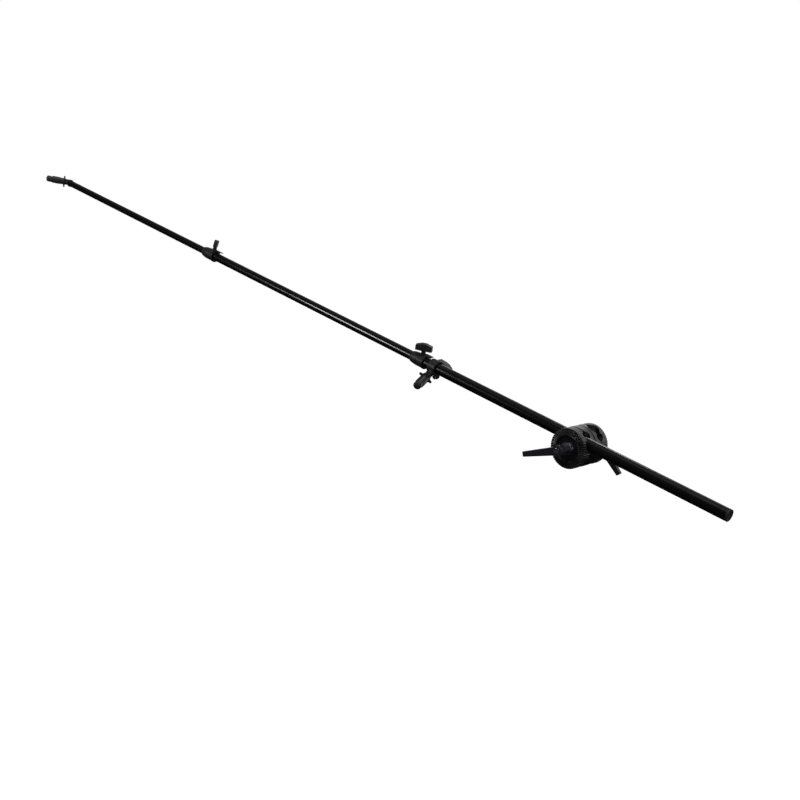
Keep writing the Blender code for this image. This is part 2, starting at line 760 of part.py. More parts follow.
def lock_screw(name, frame):
    """Makes the screw moulded into a knob."""
    top = GAP + KNOB_STEM_LENGTH + KNOB_SCREW_DEPTH
    screw = cylinder(name, LOCK_SCREW_RADIUS, -SHOE_DEPTH + GAP, top, COARSE)
    return piece(name, screw, frame, STEEL)


def lock_shoe(name, frame, seat, inner_radius):
    """Makes the pad that a lock's screw presses against the tube inside."""
    low = inner_radius + GAP - seat
    return piece(name, cylinder(name, SHOE_RADIUS, low, -SHOE_DEPTH, COARSE), frame, BRASS)


def lock(side, parent, seat_origin, outward, bar_direction, seat, inner_radius):
    """Makes a lock's shoe, screw and knob on the seat given."""
    shoe = new_frame(f"{side}_shoe_frame", parent, seat_origin, bar_direction, outward)
    knob = new_frame(f"{side}_knob_frame", shoe, (0, 0, 0), (1, 0, 0), (0, 0, 1))
    lock_shoe(f"{side}_shoe", shoe, seat, inner_radius)
    lock_screw(f"{side}_screw", knob)
    lock_knob(f"{side}_knob", knob)


def collar_lock(side, frame, size, turn):
    """Makes the lock on top of a collar, its bar turned about the screw."""
    origin = (size.seat, 0.0, COLLAR_SCREW)
    bar_direction = (0.0, math.sin(turn), -math.cos(turn))
    lock(side, frame, origin, (1, 0, 0), bar_direction, size.seat, size.inner_radius)


# Saddle


def saddle_ring(frame, leg_turn, knob_turn):
    """Makes the saddle: a ring with one slit and its lugs, the clip's leg and the lock's boss."""
    half = SADDLE_WIDTH / 2
    ring = pipe("saddle_ring", SADDLE_RADIUS, BASE_RADIUS + GAP, -half, half, FINE)
    inner = (BASE_RADIUS + SADDLE_RADIUS) / 2
    thick = SADDLE_LUG_THICKNESS + SADDLE_SLIT / 2
    low, high = SADDLE_LUG_SHIFT - SADDLE_LUG_WIDTH / 2, SADDLE_LUG_SHIFT + SADDLE_LUG_WIDTH / 2
    join(ring, box("lugs", (-SADDLE_LUG_HEIGHT, -thick, low), (-inner, thick, high)))
    radial = about_z(leg_turn) @ about_y(math.pi / 2)
    leg = cylinder("leg", SADDLE_LEG_RADIUS, BASE_RADIUS + 2 * GAP, SADDLE_LEG_REACH, COARSE)
    join(ring, moved(leg, radial))
    knob_side = about_z(knob_turn) @ about_y(math.pi / 2)
    boss = cylinder("boss", BOSS_RADIUS - GAP, BASE_RADIUS + 2 * GAP, SADDLE_SEAT, COARSE)
    join(ring, moved(boss, knob_side))
    reach = SADDLE_LUG_HEIGHT + OVERCUT
    cut(ring, box("slit", (-reach, -SADDLE_SLIT / 2, -reach), (0.0, SADDLE_SLIT / 2, reach)))
    hole = cylinder("bolt_hole", SADDLE_BOLT_RADIUS + GAP, -reach, reach, COARSE)
    cut(ring, moved(hole, across_lugs()))
    roof = SADDLE_LEG_REACH - SPIGOT_LENGTH
    top = SADDLE_LEG_REACH + OVERCUT
    socket = stepped_cutter(SPIGOT_RADIUS + GAP, RETAINER_RADIUS + GAP, roof, top)
    cut(ring, moved(socket, radial))
    cut_lock_holes(ring, SADDLE_SEAT, knob_side)
    return piece("saddle_ring", ring, frame, PLASTIC)


def across_lugs():
    """Returns the place of the bolt across the saddle's lugs."""
    place = Matrix.Translation((-SADDLE_BOLT_AT, 0.0, SADDLE_LUG_SHIFT))
    return place @ about_x(math.pi / 2)


def saddle_fasteners(frame):
    """Makes the bolt and nut through the saddle's lugs."""
    face = SADDLE_LUG_THICKNESS + SADDLE_SLIT / 2 + GAP
    head = face + SADDLE_BOLT_HEAD
    end = face + SADDLE_NUT + 0.0008
    bore = SADDLE_BOLT_RADIUS + GAP
    profile = [(0.0, head), (SADDLE_BOLT_HEAD_RADIUS - 2 * GAP, head)]
    profile += [(SADDLE_BOLT_HEAD_RADIUS, head - 2 * GAP), (SADDLE_BOLT_HEAD_RADIUS, face)]
    profile += [(SADDLE_BOLT_RADIUS, face), (SADDLE_BOLT_RADIUS, -end), (0.0, -end)]
    piece("saddle_bolt", moved(turned("bolt", profile, COARSE), across_lugs()), frame, PLATED)
    nut = pipe("nut", SADDLE_NUT_RADIUS, bore, -face - SADDLE_NUT, -face, 6)
    piece("saddle_nut", moved(nut, across_lugs()), frame, PLATED)


# Rim clips


def knuckle(name, frame):
    """Makes the swivelling knuckle: spigot, disc and the tongue of its hinge."""
    neck = -SPIGOT_LENGTH
    tail = neck - RETAINER - 2 * GAP
    profile = [(0.0, KNUCKLE_DISC), (KNUCKLE_RADIUS, KNUCKLE_DISC), (KNUCKLE_RADIUS, GAP)]
    profile += [(SPIGOT_RADIUS, GAP), (SPIGOT_RADIUS, neck), (SPIGOT_TAIL_RADIUS, neck)]
    profile += [(SPIGOT_TAIL_RADIUS, tail), (0.0, tail)]
    body = turned(name, profile, COARSE)
    outline = rounded_tab(PIVOT_REACH, CLEVIS_RADIUS, KNUCKLE_DISC - GAP)
    tongue = prism("tongue", outline, -TONGUE_HALF, TONGUE_HALF)
    join(body, moved(tongue, OUTLINE_ACROSS_X))
    hole = cylinder("pin_hole", PIN_RADIUS + GAP, -CLEVIS_HALF, CLEVIS_HALF, COARSE)
    place = Matrix.Translation((0.0, 0.0, PIVOT_REACH)) @ about_y(math.pi / 2)
    cut(body, moved(hole, place))
    return piece(name, body, frame, PLASTIC)


def rounded_tab(reach, radius, base):
    """Returns an outline with a straight end at base and a round one about the point reach."""
    away = 1 if reach > base else -1
    steps = 10
    points = [(-radius, base), (radius, base)]
    for i in range(steps + 1):
        angle = math.pi * i / steps
        points.append((radius * math.cos(angle), reach + away * radius * math.sin(angle)))
    return points


def retainer(name, frame):
    """Makes the ring that keeps the knuckle's spigot in its socket."""
    high = -SPIGOT_LENGTH - GAP
    ring = pipe(name, RETAINER_RADIUS, SPIGOT_TAIL_RADIUS + GAP, high - RETAINER, high, COARSE)
    return piece(name, ring, frame, STEEL)


def clip_base(name, frame):
    """Makes the clip's fork with its two finger ears and the spigot in the barrel."""
    top = FLANGE_START + FLANGE_THICKNESS
    outline = rounded_tab(0.0, CLEVIS_RADIUS, FLANGE_START + GAP)
    fork = moved(prism(name, outline, -CLEVIS_HALF, CLEVIS_HALF), OUTLINE_ACROSS_X)
    slot = TONGUE_HALF + GAP
    reach = CLEVIS_RADIUS + OVERCUT
    cut(fork, box("slot", (-slot, -reach, -reach), (slot, reach, CLEVIS_SLOT_DEPTH)))
    spigot = BARREL_RADIUS - BARREL_WALL - GAP
    profile = [(0.0, top + BASE_SPIGOT), (spigot, top + BASE_SPIGOT), (spigot, top)]
    profile += [(FLANGE_RADIUS, top), (FLANGE_RADIUS, FLANGE_START), (0.0, FLANGE_START)]
    join(fork, turned("flange", profile, ROUND))
    ears = prism("ears", ear_outline(), FLANGE_START + GAP, top - GAP)
    join(fork, ears)
    hole = cylinder("pin_hole", PIN_RADIUS + GAP, -PIN_HALF, PIN_HALF, COARSE)
    cut(fork, moved(hole, about_y(math.pi / 2)))
    return piece(name, fork, frame, PLASTIC)


def ear_outline():
    """Returns the outline of the two finger ears, which narrow towards their tips."""
    root, tip, span = EAR_ROOT_HALF_WIDTH, EAR_TIP_HALF_WIDTH, EAR_HALF_SPAN
    points = [(0.0, -root), (span, -tip), (span, tip), (0.0, root)]
    return points + [(-span, tip), (-span, -tip)]


def pivot_pin(name, frame):
    """Makes the pin of the clip's hinge."""
    pin = cylinder(name, PIN_RADIUS, -PIN_HALF, PIN_HALF, COARSE, 0.0004)
    return piece(name, moved(pin, about_y(math.pi / 2)), frame, PLATED)


def barrel(name, frame):
    """Makes the clip's barrel, which holds the plunger and its spring."""
    low = FLANGE_START + FLANGE_THICKNESS + GAP
    bore = BARREL_RADIUS - BARREL_WALL
    hole = PLUNGER_RADIUS + GAP
    roof = BARREL_TOP - BARREL_END_WALL
    chamfer = 0.0012
    profile = [(hole, BARREL_TOP), (BARREL_RADIUS - chamfer, BARREL_TOP)]
    profile += [(BARREL_RADIUS, BARREL_TOP - chamfer), (BARREL_RADIUS, low + 2 * BARREL_WAIST)]
    profile += [(BARREL_WAIST_RADIUS + GAP, low + BARREL_WAIST), (BARREL_WAIST_RADIUS + GAP, low)]
    profile += [(bore, low), (bore, roof), (hole, roof)]
    return piece(name, turned(name, profile, ROUND, ring=True), frame, PLASTIC)


def hook(name, frame):
    """Makes the plunger with its hooked nose, flush with one side of the barrel."""
    cap_low = BARREL_TOP + HOOK_THROAT
    cap_high = cap_low + HOOK_CAP
    head_top = PLUNGER_HEAD_AT + PLUNGER_HEAD + GAP
    stem_top = cap_low + GAP
    profile = [(0.0, stem_top), (PLUNGER_RADIUS, stem_top), (PLUNGER_RADIUS, head_top)]
    profile += [(PLUNGER_TAIL_RADIUS, head_top), (PLUNGER_TAIL_RADIUS, PLUNGER_HEAD_AT - GAP)]
    profile.append((0.0, PLUNGER_HEAD_AT - GAP))
    stem = turned(name, profile, COARSE)
    shoulder = cap_high - HOOK_DOME
    profile = [(0.0, cap_high), (HOOK_RADIUS * 0.5, cap_high)]
    profile += [(HOOK_RADIUS * 0.85, cap_high - HOOK_DOME / 3), (HOOK_RADIUS, shoulder)]
    profile += [(HOOK_RADIUS, BARREL_TOP + GAP), (0.0, BARREL_TOP + GAP)]
    nose = turned("nose", profile, ROUND)
    shift = HOOK_RADIUS - BARREL_RADIUS + GAP
    join(stem, moved(nose, Matrix.Translation((0.0, shift, 0.0))))
    wide = BARREL_RADIUS + OVERCUT
    flat_low = BARREL_TOP - PLUNGER_TRAVEL - 2 * GAP
    throat = box("throat", (-wide, -HOOK_FLAT, flat_low), (wide, wide, cap_low))
    return piece(name, cut(stem, throat), frame, PLASTIC)


def rod_nut(name, frame):
    """Makes the nut on the plunger's inner end, which the spring pushes."""
    bore = PLUNGER_TAIL_RADIUS + GAP
    top = PLUNGER_HEAD_AT + PLUNGER_HEAD
    nut = pipe(name, PLUNGER_HEAD_RADIUS, bore, PLUNGER_HEAD_AT, top, COARSE)
    return piece(name, nut, frame, PLATED)


def clip_spring(name, frame):
    """Makes the spring between the rod nut and the barrel's end wall."""
    low = PLUNGER_HEAD_AT + PLUNGER_HEAD + GAP
    high = BARREL_TOP - BARREL_END_WALL - GAP
    radius = (PLUNGER_RADIUS + BARREL_RADIUS - BARREL_WALL) / 2
    spring = coil(name, radius, CLIP_SPRING_WIRE, low, high, CLIP_SPRING_TURNS)
    return piece(name, spring, frame, STEEL)


def rim_clip(side, parent, origin, outward, hinge_axis, bend):
    """Makes a whole rim clip on the socket at the origin given."""
    swivel = new_frame(f"{side}_swivel_frame", parent, origin, hinge_axis, outward)
    bent = Vector((0.0, -math.sin(bend), math.cos(bend)))
    tilt = new_frame(f"{side}_tilt_frame", swivel, (0, 0, PIVOT_REACH), (1, 0, 0), bent)
    slide = new_frame(f"{side}_hook_frame", tilt, (0, 0, 0), (1, 0, 0), (0, 0, 1))
    knuckle(f"{side}_knuckle", swivel)
    retainer(f"{side}_retainer", swivel)
    clip_base(f"{side}_base", tilt)
    pivot_pin(f"{side}_pivot_pin", tilt)
    barrel(f"{side}_barrel", tilt)
    hook(f"{side}_hook", slide)
    rod_nut(f"{side}_rod_nut", slide)
    clip_spring(f"{side}_spring", tilt)


def tip_socket(frame):
    """Makes the plug in the tip tube's mouth, with a lip that slopes clear of the tilting clip."""
    lip = TIP_RADIUS + SOCKET_LIP_RISE
    outer = TIP_RADIUS - TUBE_WALL - GAP
    bottom = -SOCKET_LIP - SOCKET_LENGTH
    bore = SPIGOT_RADIUS + GAP
    cavity = RETAINER_RADIUS + GAP
    profile = [(bore, 0.0), (lip - SOCKET_SLOPE, 0.0), (lip, -SOCKET_SLOPE_HEIGHT), (lip, -SOCKET_LIP)]
    profile += [(outer, -SOCKET_LIP), (outer, bottom), (cavity, bottom), (cavity, -SPIGOT_LENGTH)]
    profile.append((bore, -SPIGOT_LENGTH))
    return piece("tip_socket", turned("socket", profile, ROUND, ring=True), frame, PLASTIC)


def grip_head():
    """Makes the double grip head and returns the frame of its front pair of jaws."""
    rear = new_frame("rear_jaws_frame", HOLDER, (-JAW_CHORD, 0, 0), (0, 0, 1), (0, 1, 0))
    inner_jaw("rear_inner_jaw", rear, True)
    centre_stud(rear)
    friction_washer(rear)
    drop = REAR_LEVER_DROP
    clamp_side("rear", rear, (-math.sin(drop), math.cos(drop), 0.0))
    downhill = (math.cos(BOOM_RISE), 0.0, -math.sin(BOOM_RISE))
    origin = (-JAW_CHORD, -2 * INNER_JAW_DEPTH, 0)
    front = new_frame("front_jaws_frame", HOLDER, origin, downhill, (0, -1, 0))
    inner_jaw("front_inner_jaw", front, False)
    below = FRONT_LEVER_DROP + BOOM_RISE
    clamp_side("front", front, (-math.cos(below), -math.sin(below), 0.0))
    return front


def boom(front):
    """Makes the three tubes with their collars, locks and plugs, the saddle and both clips."""
    base = new_frame("boom_frame", front, (0, JAW_CHORD, 0), (0, 1, 0), (-1, 0, 0))
    base_mouth = BASE_COLLAR_AHEAD + COLLAR_MOUTH
    middle_mouth = MIDDLE_COLLAR_AHEAD + COLLAR_MOUTH
    base_shoe = BASE_COLLAR_AHEAD + COLLAR_SCREW
    size = Collar(BASE_RADIUS, MIDDLE_RADIUS, BASE_COLLAR_LENGTH, BASE_COLLAR_WALL, BASE_NOSE_WALL,
                  BASE_COLLAR_ROLL, BASE_TONGUE_RISE, BASE_TONGUE_BEHIND)
    boom_tube("base_tube", base, BASE_RADIUS, -BUTT_BEHIND_HEAD, base_mouth, base_shoe, size.roll)
    end_plug("base_tube_end_plug", base, BASE_RADIUS, BASE_BORE, -BUTT_BEHIND_HEAD)
    collar = new_frame("base_collar_frame", base, (0, 0, BASE_COLLAR_AHEAD), size.x_axis, (0, 0, 1))
    lock_collar("base_lock_collar", collar, size)
    collar_lock("base_lock", collar, size, BASE_KNOB_TURN)

    middle_start = base_mouth - TUBE_OVERLAP
    middle = new_frame("middle_frame", base, (0, 0, middle_start), (1, 0, 0), (0, 0, 1))
    collar_at = MIDDLE_COLLAR_AHEAD - middle_start
    middle_length = middle_mouth - middle_start
    shoe_at = collar_at + COLLAR_SCREW
    size = Collar(MIDDLE_RADIUS, TIP_RADIUS, MIDDLE_COLLAR_LENGTH, MIDDLE_COLLAR_WALL, MIDDLE_NOSE_WALL,
                  MIDDLE_COLLAR_ROLL, MIDDLE_TONGUE_RISE, MIDDLE_TONGUE_BEHIND)
    boom_tube("middle_tube", middle, MIDDLE_RADIUS, 0.0, middle_length, shoe_at, size.roll)
    guide_plug("middle_tube_guide_plug", middle, MIDDLE_BORE, BASE_BORE)
    collar = new_frame("middle_collar_frame", middle, (0, 0, collar_at), size.x_axis, (0, 0, 1))
    lock_collar("middle_lock_collar", collar, size)
    collar_lock("middle_lock", collar, size, MIDDLE_KNOB_TURN)

    tip_start = middle_mouth - TUBE_OVERLAP - middle_start
    tip = new_frame("tip_frame", middle, (0, 0, tip_start), (1, 0, 0), (0, 0, 1))
    tip_length = TIP_MOUTH_AHEAD - middle_start - tip_start
    boom_tube("tip_tube", tip, TIP_RADIUS, 0.0, tip_length)
    guide_plug("tip_tube_guide_plug", tip, TIP_RADIUS - TUBE_WALL, MIDDLE_BORE)
    socket_face = tip_length + SOCKET_LIP + GAP
    socket = new_frame("tip_socket_frame", tip, (0, 0, socket_face), (1, 0, 0), (0, 0, 1))
    tip_socket(socket)
    rim_clip("tip_clip", socket, (0, 0, 0), (0, 0, 1), (1, 0, 0), TIP_CLIP_BEND)
    saddle(base)


def saddle(base):
    """Makes the saddle on the thick tube with its lock and its rim clip."""
    frame = new_frame("saddle_frame", base, (0, 0, SADDLE_AHEAD), (1, 0, 0), (0, 0, 1))
    lean = SADDLE_SPLIT_LEAN
    split_axis = (math.cos(lean), -math.sin(lean), 0.0)
    split = new_frame("saddle_split_frame", frame, (0, 0, 0), split_axis, (0, 0, 1))
    saddle_ring(split, lean + SADDLE_LEG_ANGLE, lean + math.pi / 2)
    saddle_fasteners(split)
    bar = (math.sin(SADDLE_KNOB_TURN), 0.0, -math.cos(SADDLE_KNOB_TURN))
    seat = (0.0, SADDLE_SEAT, 0.0)
    lock("saddle_lock", frame, seat, (0, 1, 0), bar, SADDLE_SEAT, BASE_RADIUS)
    leg = Vector((math.cos(SADDLE_LEG_ANGLE), math.sin(SADDLE_LEG_ANGLE), 0.0))
    across = Vector((-math.sin(SADDLE_LEG_ANGLE), math.cos(SADDLE_LEG_ANGLE), 0.0))
    along = SADDLE_CLIP_ALONG
    hinge = across * math.sqrt(1.0 - along * along) + Vector((0.0, 0.0, along))
    rim_clip("saddle_clip", frame, leg * SADDLE_LEG_REACH, leg, hinge, SADDLE_CLIP_BEND)


clear_scene()
PARTS = new_collection("reflector_holder")
HELPERS = new_collection("cutters")

CAST_BLACK = new_material("cast_black", (0.020, 0.020, 0.022), 0.45)
SATIN_BLACK = new_material("satin_black", (0.008, 0.008, 0.009), 0.30)
PLASTIC = new_material("black_plastic", (0.020, 0.019, 0.022), 0.60)
PLATED = new_material("plated_steel", (0.60, 0.60, 0.62), 0.25, 1.0)
STEEL = new_material("plain_steel", (0.35, 0.35, 0.36), 0.40, 1.0)
BRASS = new_material("brass", (0.60, 0.45, 0.20), 0.35, 1.0)
FIBRE = new_material("friction_fibre", (0.10, 0.06, 0.03), 0.80)

# What follows from the driving dimensions
BOLT_HOLE = STUD_RADIUS + GAP
JAW_CHORD = BASE_RADIUS + BOLT_HOLE
BASE_BORE = BASE_RADIUS - TUBE_WALL
MIDDLE_BORE = MIDDLE_RADIUS - TUBE_WALL
LEVER_SEAT = OUTER_JAW_DEPTH - JAW_HUB_DROP + GAP
SCREW_HEAD_TOP = LEVER_HUB_TOP - GAP
SCREW_HEAD_LOW = SCREW_HEAD_TOP - LEVER_SCREW_HEAD
SADDLE_AHEAD = BASE_COLLAR_AHEAD - SADDLE_BEHIND_COLLAR
SADDLE_SEAT = SADDLE_RADIUS + GAP
OUTLINE_ACROSS_X = Matrix(((0, 0, 1, 0), (1, 0, 0, 0), (0, 1, 0, 0), (0, 0, 0, 1)))

HOLDER = new_frame("holder_frame", None, (0, 0, 0), (1, 0, 0), (0, 0, 1))
boom(grip_head())
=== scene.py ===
"""Studio view of the telescopic boom that holds a round collapsible reflector beside a light stand.

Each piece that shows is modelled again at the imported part's own sizes, with rounded edges, fine teeth
and worked finishes. It takes the place of its plain solid and rides on the same body. Pieces inside the
holder keep their solids and only get a finish. Everything is in metres: the origin is on the stand
stud's axis, +Z is up and the tip of the boom rises towards -X.
"""
import json
import logging
import math
from collections.abc import Sequence
from dataclasses import dataclass
from enum import Enum

import bmesh
import bpy
from mathutils import Matrix, Vector


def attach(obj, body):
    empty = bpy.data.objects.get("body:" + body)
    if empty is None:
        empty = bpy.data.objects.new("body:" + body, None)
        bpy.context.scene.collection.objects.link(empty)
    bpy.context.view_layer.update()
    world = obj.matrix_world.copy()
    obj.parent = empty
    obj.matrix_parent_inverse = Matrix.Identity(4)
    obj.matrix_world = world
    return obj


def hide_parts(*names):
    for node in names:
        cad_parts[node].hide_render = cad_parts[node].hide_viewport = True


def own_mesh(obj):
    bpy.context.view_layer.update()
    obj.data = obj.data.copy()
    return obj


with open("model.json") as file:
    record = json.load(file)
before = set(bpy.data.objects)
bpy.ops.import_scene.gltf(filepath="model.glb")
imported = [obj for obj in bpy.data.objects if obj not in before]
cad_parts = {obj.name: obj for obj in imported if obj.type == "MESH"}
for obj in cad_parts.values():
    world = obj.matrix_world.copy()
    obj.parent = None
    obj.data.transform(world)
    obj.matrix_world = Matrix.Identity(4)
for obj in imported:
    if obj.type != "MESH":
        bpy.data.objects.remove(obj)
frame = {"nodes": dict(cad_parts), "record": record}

LOG = logging.getLogger("reflector_holder")
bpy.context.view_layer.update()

GAP = 0.0003
OVERCUT = 0.004
BORE = 32
ROUND = 64
FINE = 96
SMOOTH_ANGLE = math.radians(33.0)
UP = Vector((0.0, 0.0, 1.0))

Obj = bpy.types.Object
Profile = Sequence[tuple[float, ...]]
Pair = tuple[float, float]
Outline = list[Pair]
Triple = tuple[float, float, float]
Faces = list[tuple[int, ...]]
Node = bpy.types.Node
Socket = bpy.types.NodeSocket
Tree = bpy.types.NodeTree
Wired = tuple[Socket, ...]
Inputs = dict[str | int, object]
WHITE = (1.0, 1.0, 1.0, 1.0)


class Slot(Enum):
    """The finishes of the holder, by the names of the part's material slots."""

    CAST_BLACK = "cast_black"
    SATIN_BLACK = "satin_black"
    PLASTIC = "black_plastic"
    PLATED = "plated_steel"
    STEEL = "plain_steel"
    BRASS = "brass"
    FIBRE = "friction_fibre"


class Join(Enum):
    """The ways in which one solid changes another."""

    CUT = "DIFFERENCE"
    ADD = "UNION"
    KEEP = "INTERSECT"


class End(Enum):
    """The two ends of the grip head."""

    REAR = "rear"
    FRONT = "front"


# Shapes


@dataclass(frozen=True)
class Serration:
    """Fine teeth round a lathe-turned piece: how many, and the shape of one along its pitch."""

    count: int = 54
    tooth: tuple[Pair, ...] = (
        (0.0, 1.0), (0.12, 0.75), (0.25, 0.25), (0.38, 0.0),
        (0.52, 0.0), (0.65, 0.25), (0.78, 0.75), (0.90, 1.0),
    )

    def stations(self) -> list[Pair]:
        """Returns each angle round the piece with the share of the tooth's depth there."""
        pitch = math.tau / self.count
        return [((i + along) * pitch, low) for i in range(self.count) for along, low in self.tooth]


def linked(name: str, data: bpy.types.ID) -> Obj:
    """Makes an object of a mesh, camera or lamp and links it to the scene.

    Args:
        name: The object's name.
        data: What the object shows.

    Returns:
        The object.
    """
    obj = bpy.data.objects.new(name, data)
    bpy.context.scene.collection.objects.link(obj)
    return obj


def solid(vertices: list[Triple], faces: Faces) -> Obj:
    """Makes an object of vertices and faces, with its normals outward.

    Args:
        vertices: The corners.
        faces: The corners of each face, by number.

    Returns:
        The new object.
    """
    mesh = bpy.data.meshes.new("shape")
    mesh.from_pydata(vertices, [], faces)
    work = bmesh.new()
    work.from_mesh(mesh)
    bmesh.ops.recalc_face_normals(work, faces=work.faces)
    work.to_mesh(mesh)
    work.free()
    return linked("shape", mesh)


def settle(obj: Obj) -> Obj:
    """Makes an object's modifiers part of its mesh.

    Args:
        obj: The object, which keeps no modifier.

    Returns:
        The object.
    """
    bpy.context.view_layer.update()
    graph = bpy.context.evaluated_depsgraph_get()
    mesh = bpy.data.meshes.new_from_object(obj.evaluated_get(graph))
    obj.modifiers.clear()
    obj.data = mesh
    return obj


def combine(obj: Obj, how: Join, *tools: Obj) -> Obj:
    """Cuts, joins or crosses an object with others, which are used up.

    Args:
        obj: The object that changes.
        how: What the others do to it.
        tools: The other objects.

    Returns:
        The changed object.
    """
    for tool in tools:
        boolean = obj.modifiers.new("boolean", "BOOLEAN")
        boolean.operation = how.value
        boolean.solver = "EXACT"
        boolean.object = tool
        settle(obj)
        bpy.data.objects.remove(tool)
    return obj


def moved(obj: Obj, matrix: Matrix) -> Obj:
    """Moves an object's mesh and returns the object."""
    obj.data.transform(matrix)
    return obj


def softened(obj: Obj, width: float, segments: int = 2, crease: float = SMOOTH_ANGLE) -> Obj:
    """Rounds an object's edges that are sharper than a crease.

    Args:
        obj: The object that changes.
        width: How wide the rounds are.
        segments: How many faces each round has.
        crease: The angle from which an edge is rounded.

    Returns:
        The object.
    """
    bevel = obj.modifiers.new("edges", "BEVEL")
    bevel.width = width
    bevel.segments = segments
    bevel.limit_method = "ANGLE"
    bevel.angle_limit = crease
    return settle(obj)


def rounded(points: Profile, radius: float, closed: bool = False, steps: int = 3) -> Outline:
    """Rounds the corners of a line of points.

    Args:
        points: The line's corners.
        radius: How far from a corner its round starts, at most.
        closed: Whether the last point joins the first.
        steps: How many edges each round has.

    Returns:
        The points of the rounded line.
    """
    count = len(points)
    line: Outline = []
    for i, point in enumerate(points):
        here = Vector(point)
        if not closed and i in (0, count - 1):
            line.append(tuple(here))
            continue
        before, after = Vector(points[i - 1]) - here, Vector(points[(i + 1) % count]) - here
        reach = min(radius, 0.45 * before.length, 0.45 * after.length)
        start, end = here + before.normalized() * reach, here + after.normalized() * reach
        for k in range(steps + 1):
            t = k / steps
            line.append(tuple(start * (1 - t) ** 2 + here * 2 * t * (1 - t) + end * t * t))
    return line


def lathe(
    profile: Profile, segments: int = ROUND, ring: bool = False, teeth: Serration | None = None,
) -> Obj:
    """Turns a profile about Z.

    Args:
        profile: Points of (radius, height). A toothed one also has how far its radius and its height
            drop between the teeth.
        segments: How many sides the piece has, where it has no teeth.
        ring: Whether the profile closes, so that the piece has a bore.
        teeth: The teeth round the piece.

    Returns:
        The turned object.
    """
    stations = teeth.stations() if teeth else [(math.tau * i / segments, 0.0) for i in range(segments)]
    around = len(stations)
    vertices: list[Triple] = []
    rows: list[list[int]] = []
    for radius, height, *drops in profile:
        inset, drop = drops or (0.0, 0.0)
        first = len(vertices)
        if radius < 1e-7:
            vertices.append((0.0, 0.0, height))
            rows.append([first] * around)
            continue
        for angle, low in stations:
            reach = radius - inset * low
            vertices.append((reach * math.cos(angle), reach * math.sin(angle), height - drop * low))
        rows.append(list(range(first, first + around)))
    pairs = list(zip(rows, rows[1:])) + ([(rows[-1], rows[0])] if ring else [])
    faces = []
    for upper, lower in pairs:
        for k in range(around):
            corners = (lower[k], lower[(k + 1) % around], upper[(k + 1) % around], upper[k])
            faces.append(tuple(dict.fromkeys(corners)))
    return solid(vertices, faces)


def rod(radius: float, low: float, high: float, segments: int = ROUND, edge: float = 0.0) -> Obj:
    """Makes a round bar about Z, with its ends' edges rounded if asked."""
    profile: Profile = [(0.0, high), (radius, high), (radius, low), (0.0, low)]
    return lathe(rounded(profile, edge) if edge else profile, segments)


def pipe(outer: float, inner: float, low: float, high: float, edge: float, segments: int = FINE) -> Obj:
    """Makes a tube about Z, with its rims rounded."""
    profile = [(inner, high), (outer, high), (outer, low), (inner, low)]
    return lathe(rounded(profile, edge, closed=True), segments, ring=True)


def prism(outline: Outline, low: float, high: float, edge: float = 0.0) -> Obj:
    """Raises a flat outline from low to high, with its edges rounded if asked.

    Args:
        outline: The outline's corners.
        low: The height of its lower face.
        high: The height of its upper face.
        edge: How wide the edges' rounds are, if they have any.

    Returns:
        The prism.
    """
    count = len(outline)
    vertices = [(x, y, z) for z in (low, high) for x, y in outline]
    faces: Faces = [tuple(range(count)), tuple(range(count, 2 * count))]
    for i in range(count):
        after = (i + 1) % count
        faces.append((i, after, after + count, i + count))
    obj = solid(vertices, faces)
    return softened(obj, edge) if edge else obj


def block(low: Triple, high: Triple, edge: float = 0.0) -> Obj:
    """Makes a box between two corners, with its edges rounded if asked."""
    outline = [(low[0], low[1]), (high[0], low[1]), (high[0], high[1]), (low[0], high[1])]
    return prism(outline, low[2], high[2], edge)


def coil(radius: float, wire: float, low: float, high: float, turns: float) -> Obj:
    """Winds an open compression spring about Z.

    Args:
        radius: From the axis to the middle of the wire.
        wire: The wire's radius.
        low: The lower end of the spring.
        high: Its upper end.
        turns: How many turns the wire makes.

    Returns:
        The spring.
    """
    sides, per_turn = 8, 28
    count = int(turns * per_turn)
    rise = (high - low - 2 * wire) / (math.tau * turns)
    slope = math.atan2(rise, radius)
    vertices: list[Triple] = []
    for i in range(count + 1):
        angle = math.tau * turns * i / count
        out = Vector((math.cos(angle), math.sin(angle), 0.0))
        along = Vector((-math.sin(angle), math.cos(angle), 0.0))
        side = UP * math.cos(slope) - along * math.sin(slope)
        centre = out * radius + UP * (low + wire + rise * angle)
        for k in range(sides):
            turn = math.tau * k / sides
            vertices.append(tuple(centre + wire * (out * math.cos(turn) + side * math.sin(turn))))
    faces: Faces = [tuple(range(sides)), tuple(range(count * sides, (count + 1) * sides))]
    for i in range(count):
        for k in range(sides):
            a, b = i * sides + k, i * sides + (k + 1) % sides
            faces.append((a, b, b + sides, a + sides))
    return solid(vertices, faces)


def arc(
    radius: float, start: float, end: float, steps: int = 10, centre: Pair = (0.0, 0.0),
) -> Outline:
    """Returns points on an arc between two angles."""
    angles = [start + (end - start) * i / steps for i in range(steps + 1)]
    return [(centre[0] + radius * math.cos(a), centre[1] + radius * math.sin(a)) for a in angles]


def about(axis: str, angle: float) -> Matrix:
    """Returns a turn about an axis."""
    return Matrix.Rotation(angle, 4, axis)


def shift(x: float, y: float, z: float) -> Matrix:
    """Returns a move."""
    return Matrix.Translation((x, y, z))


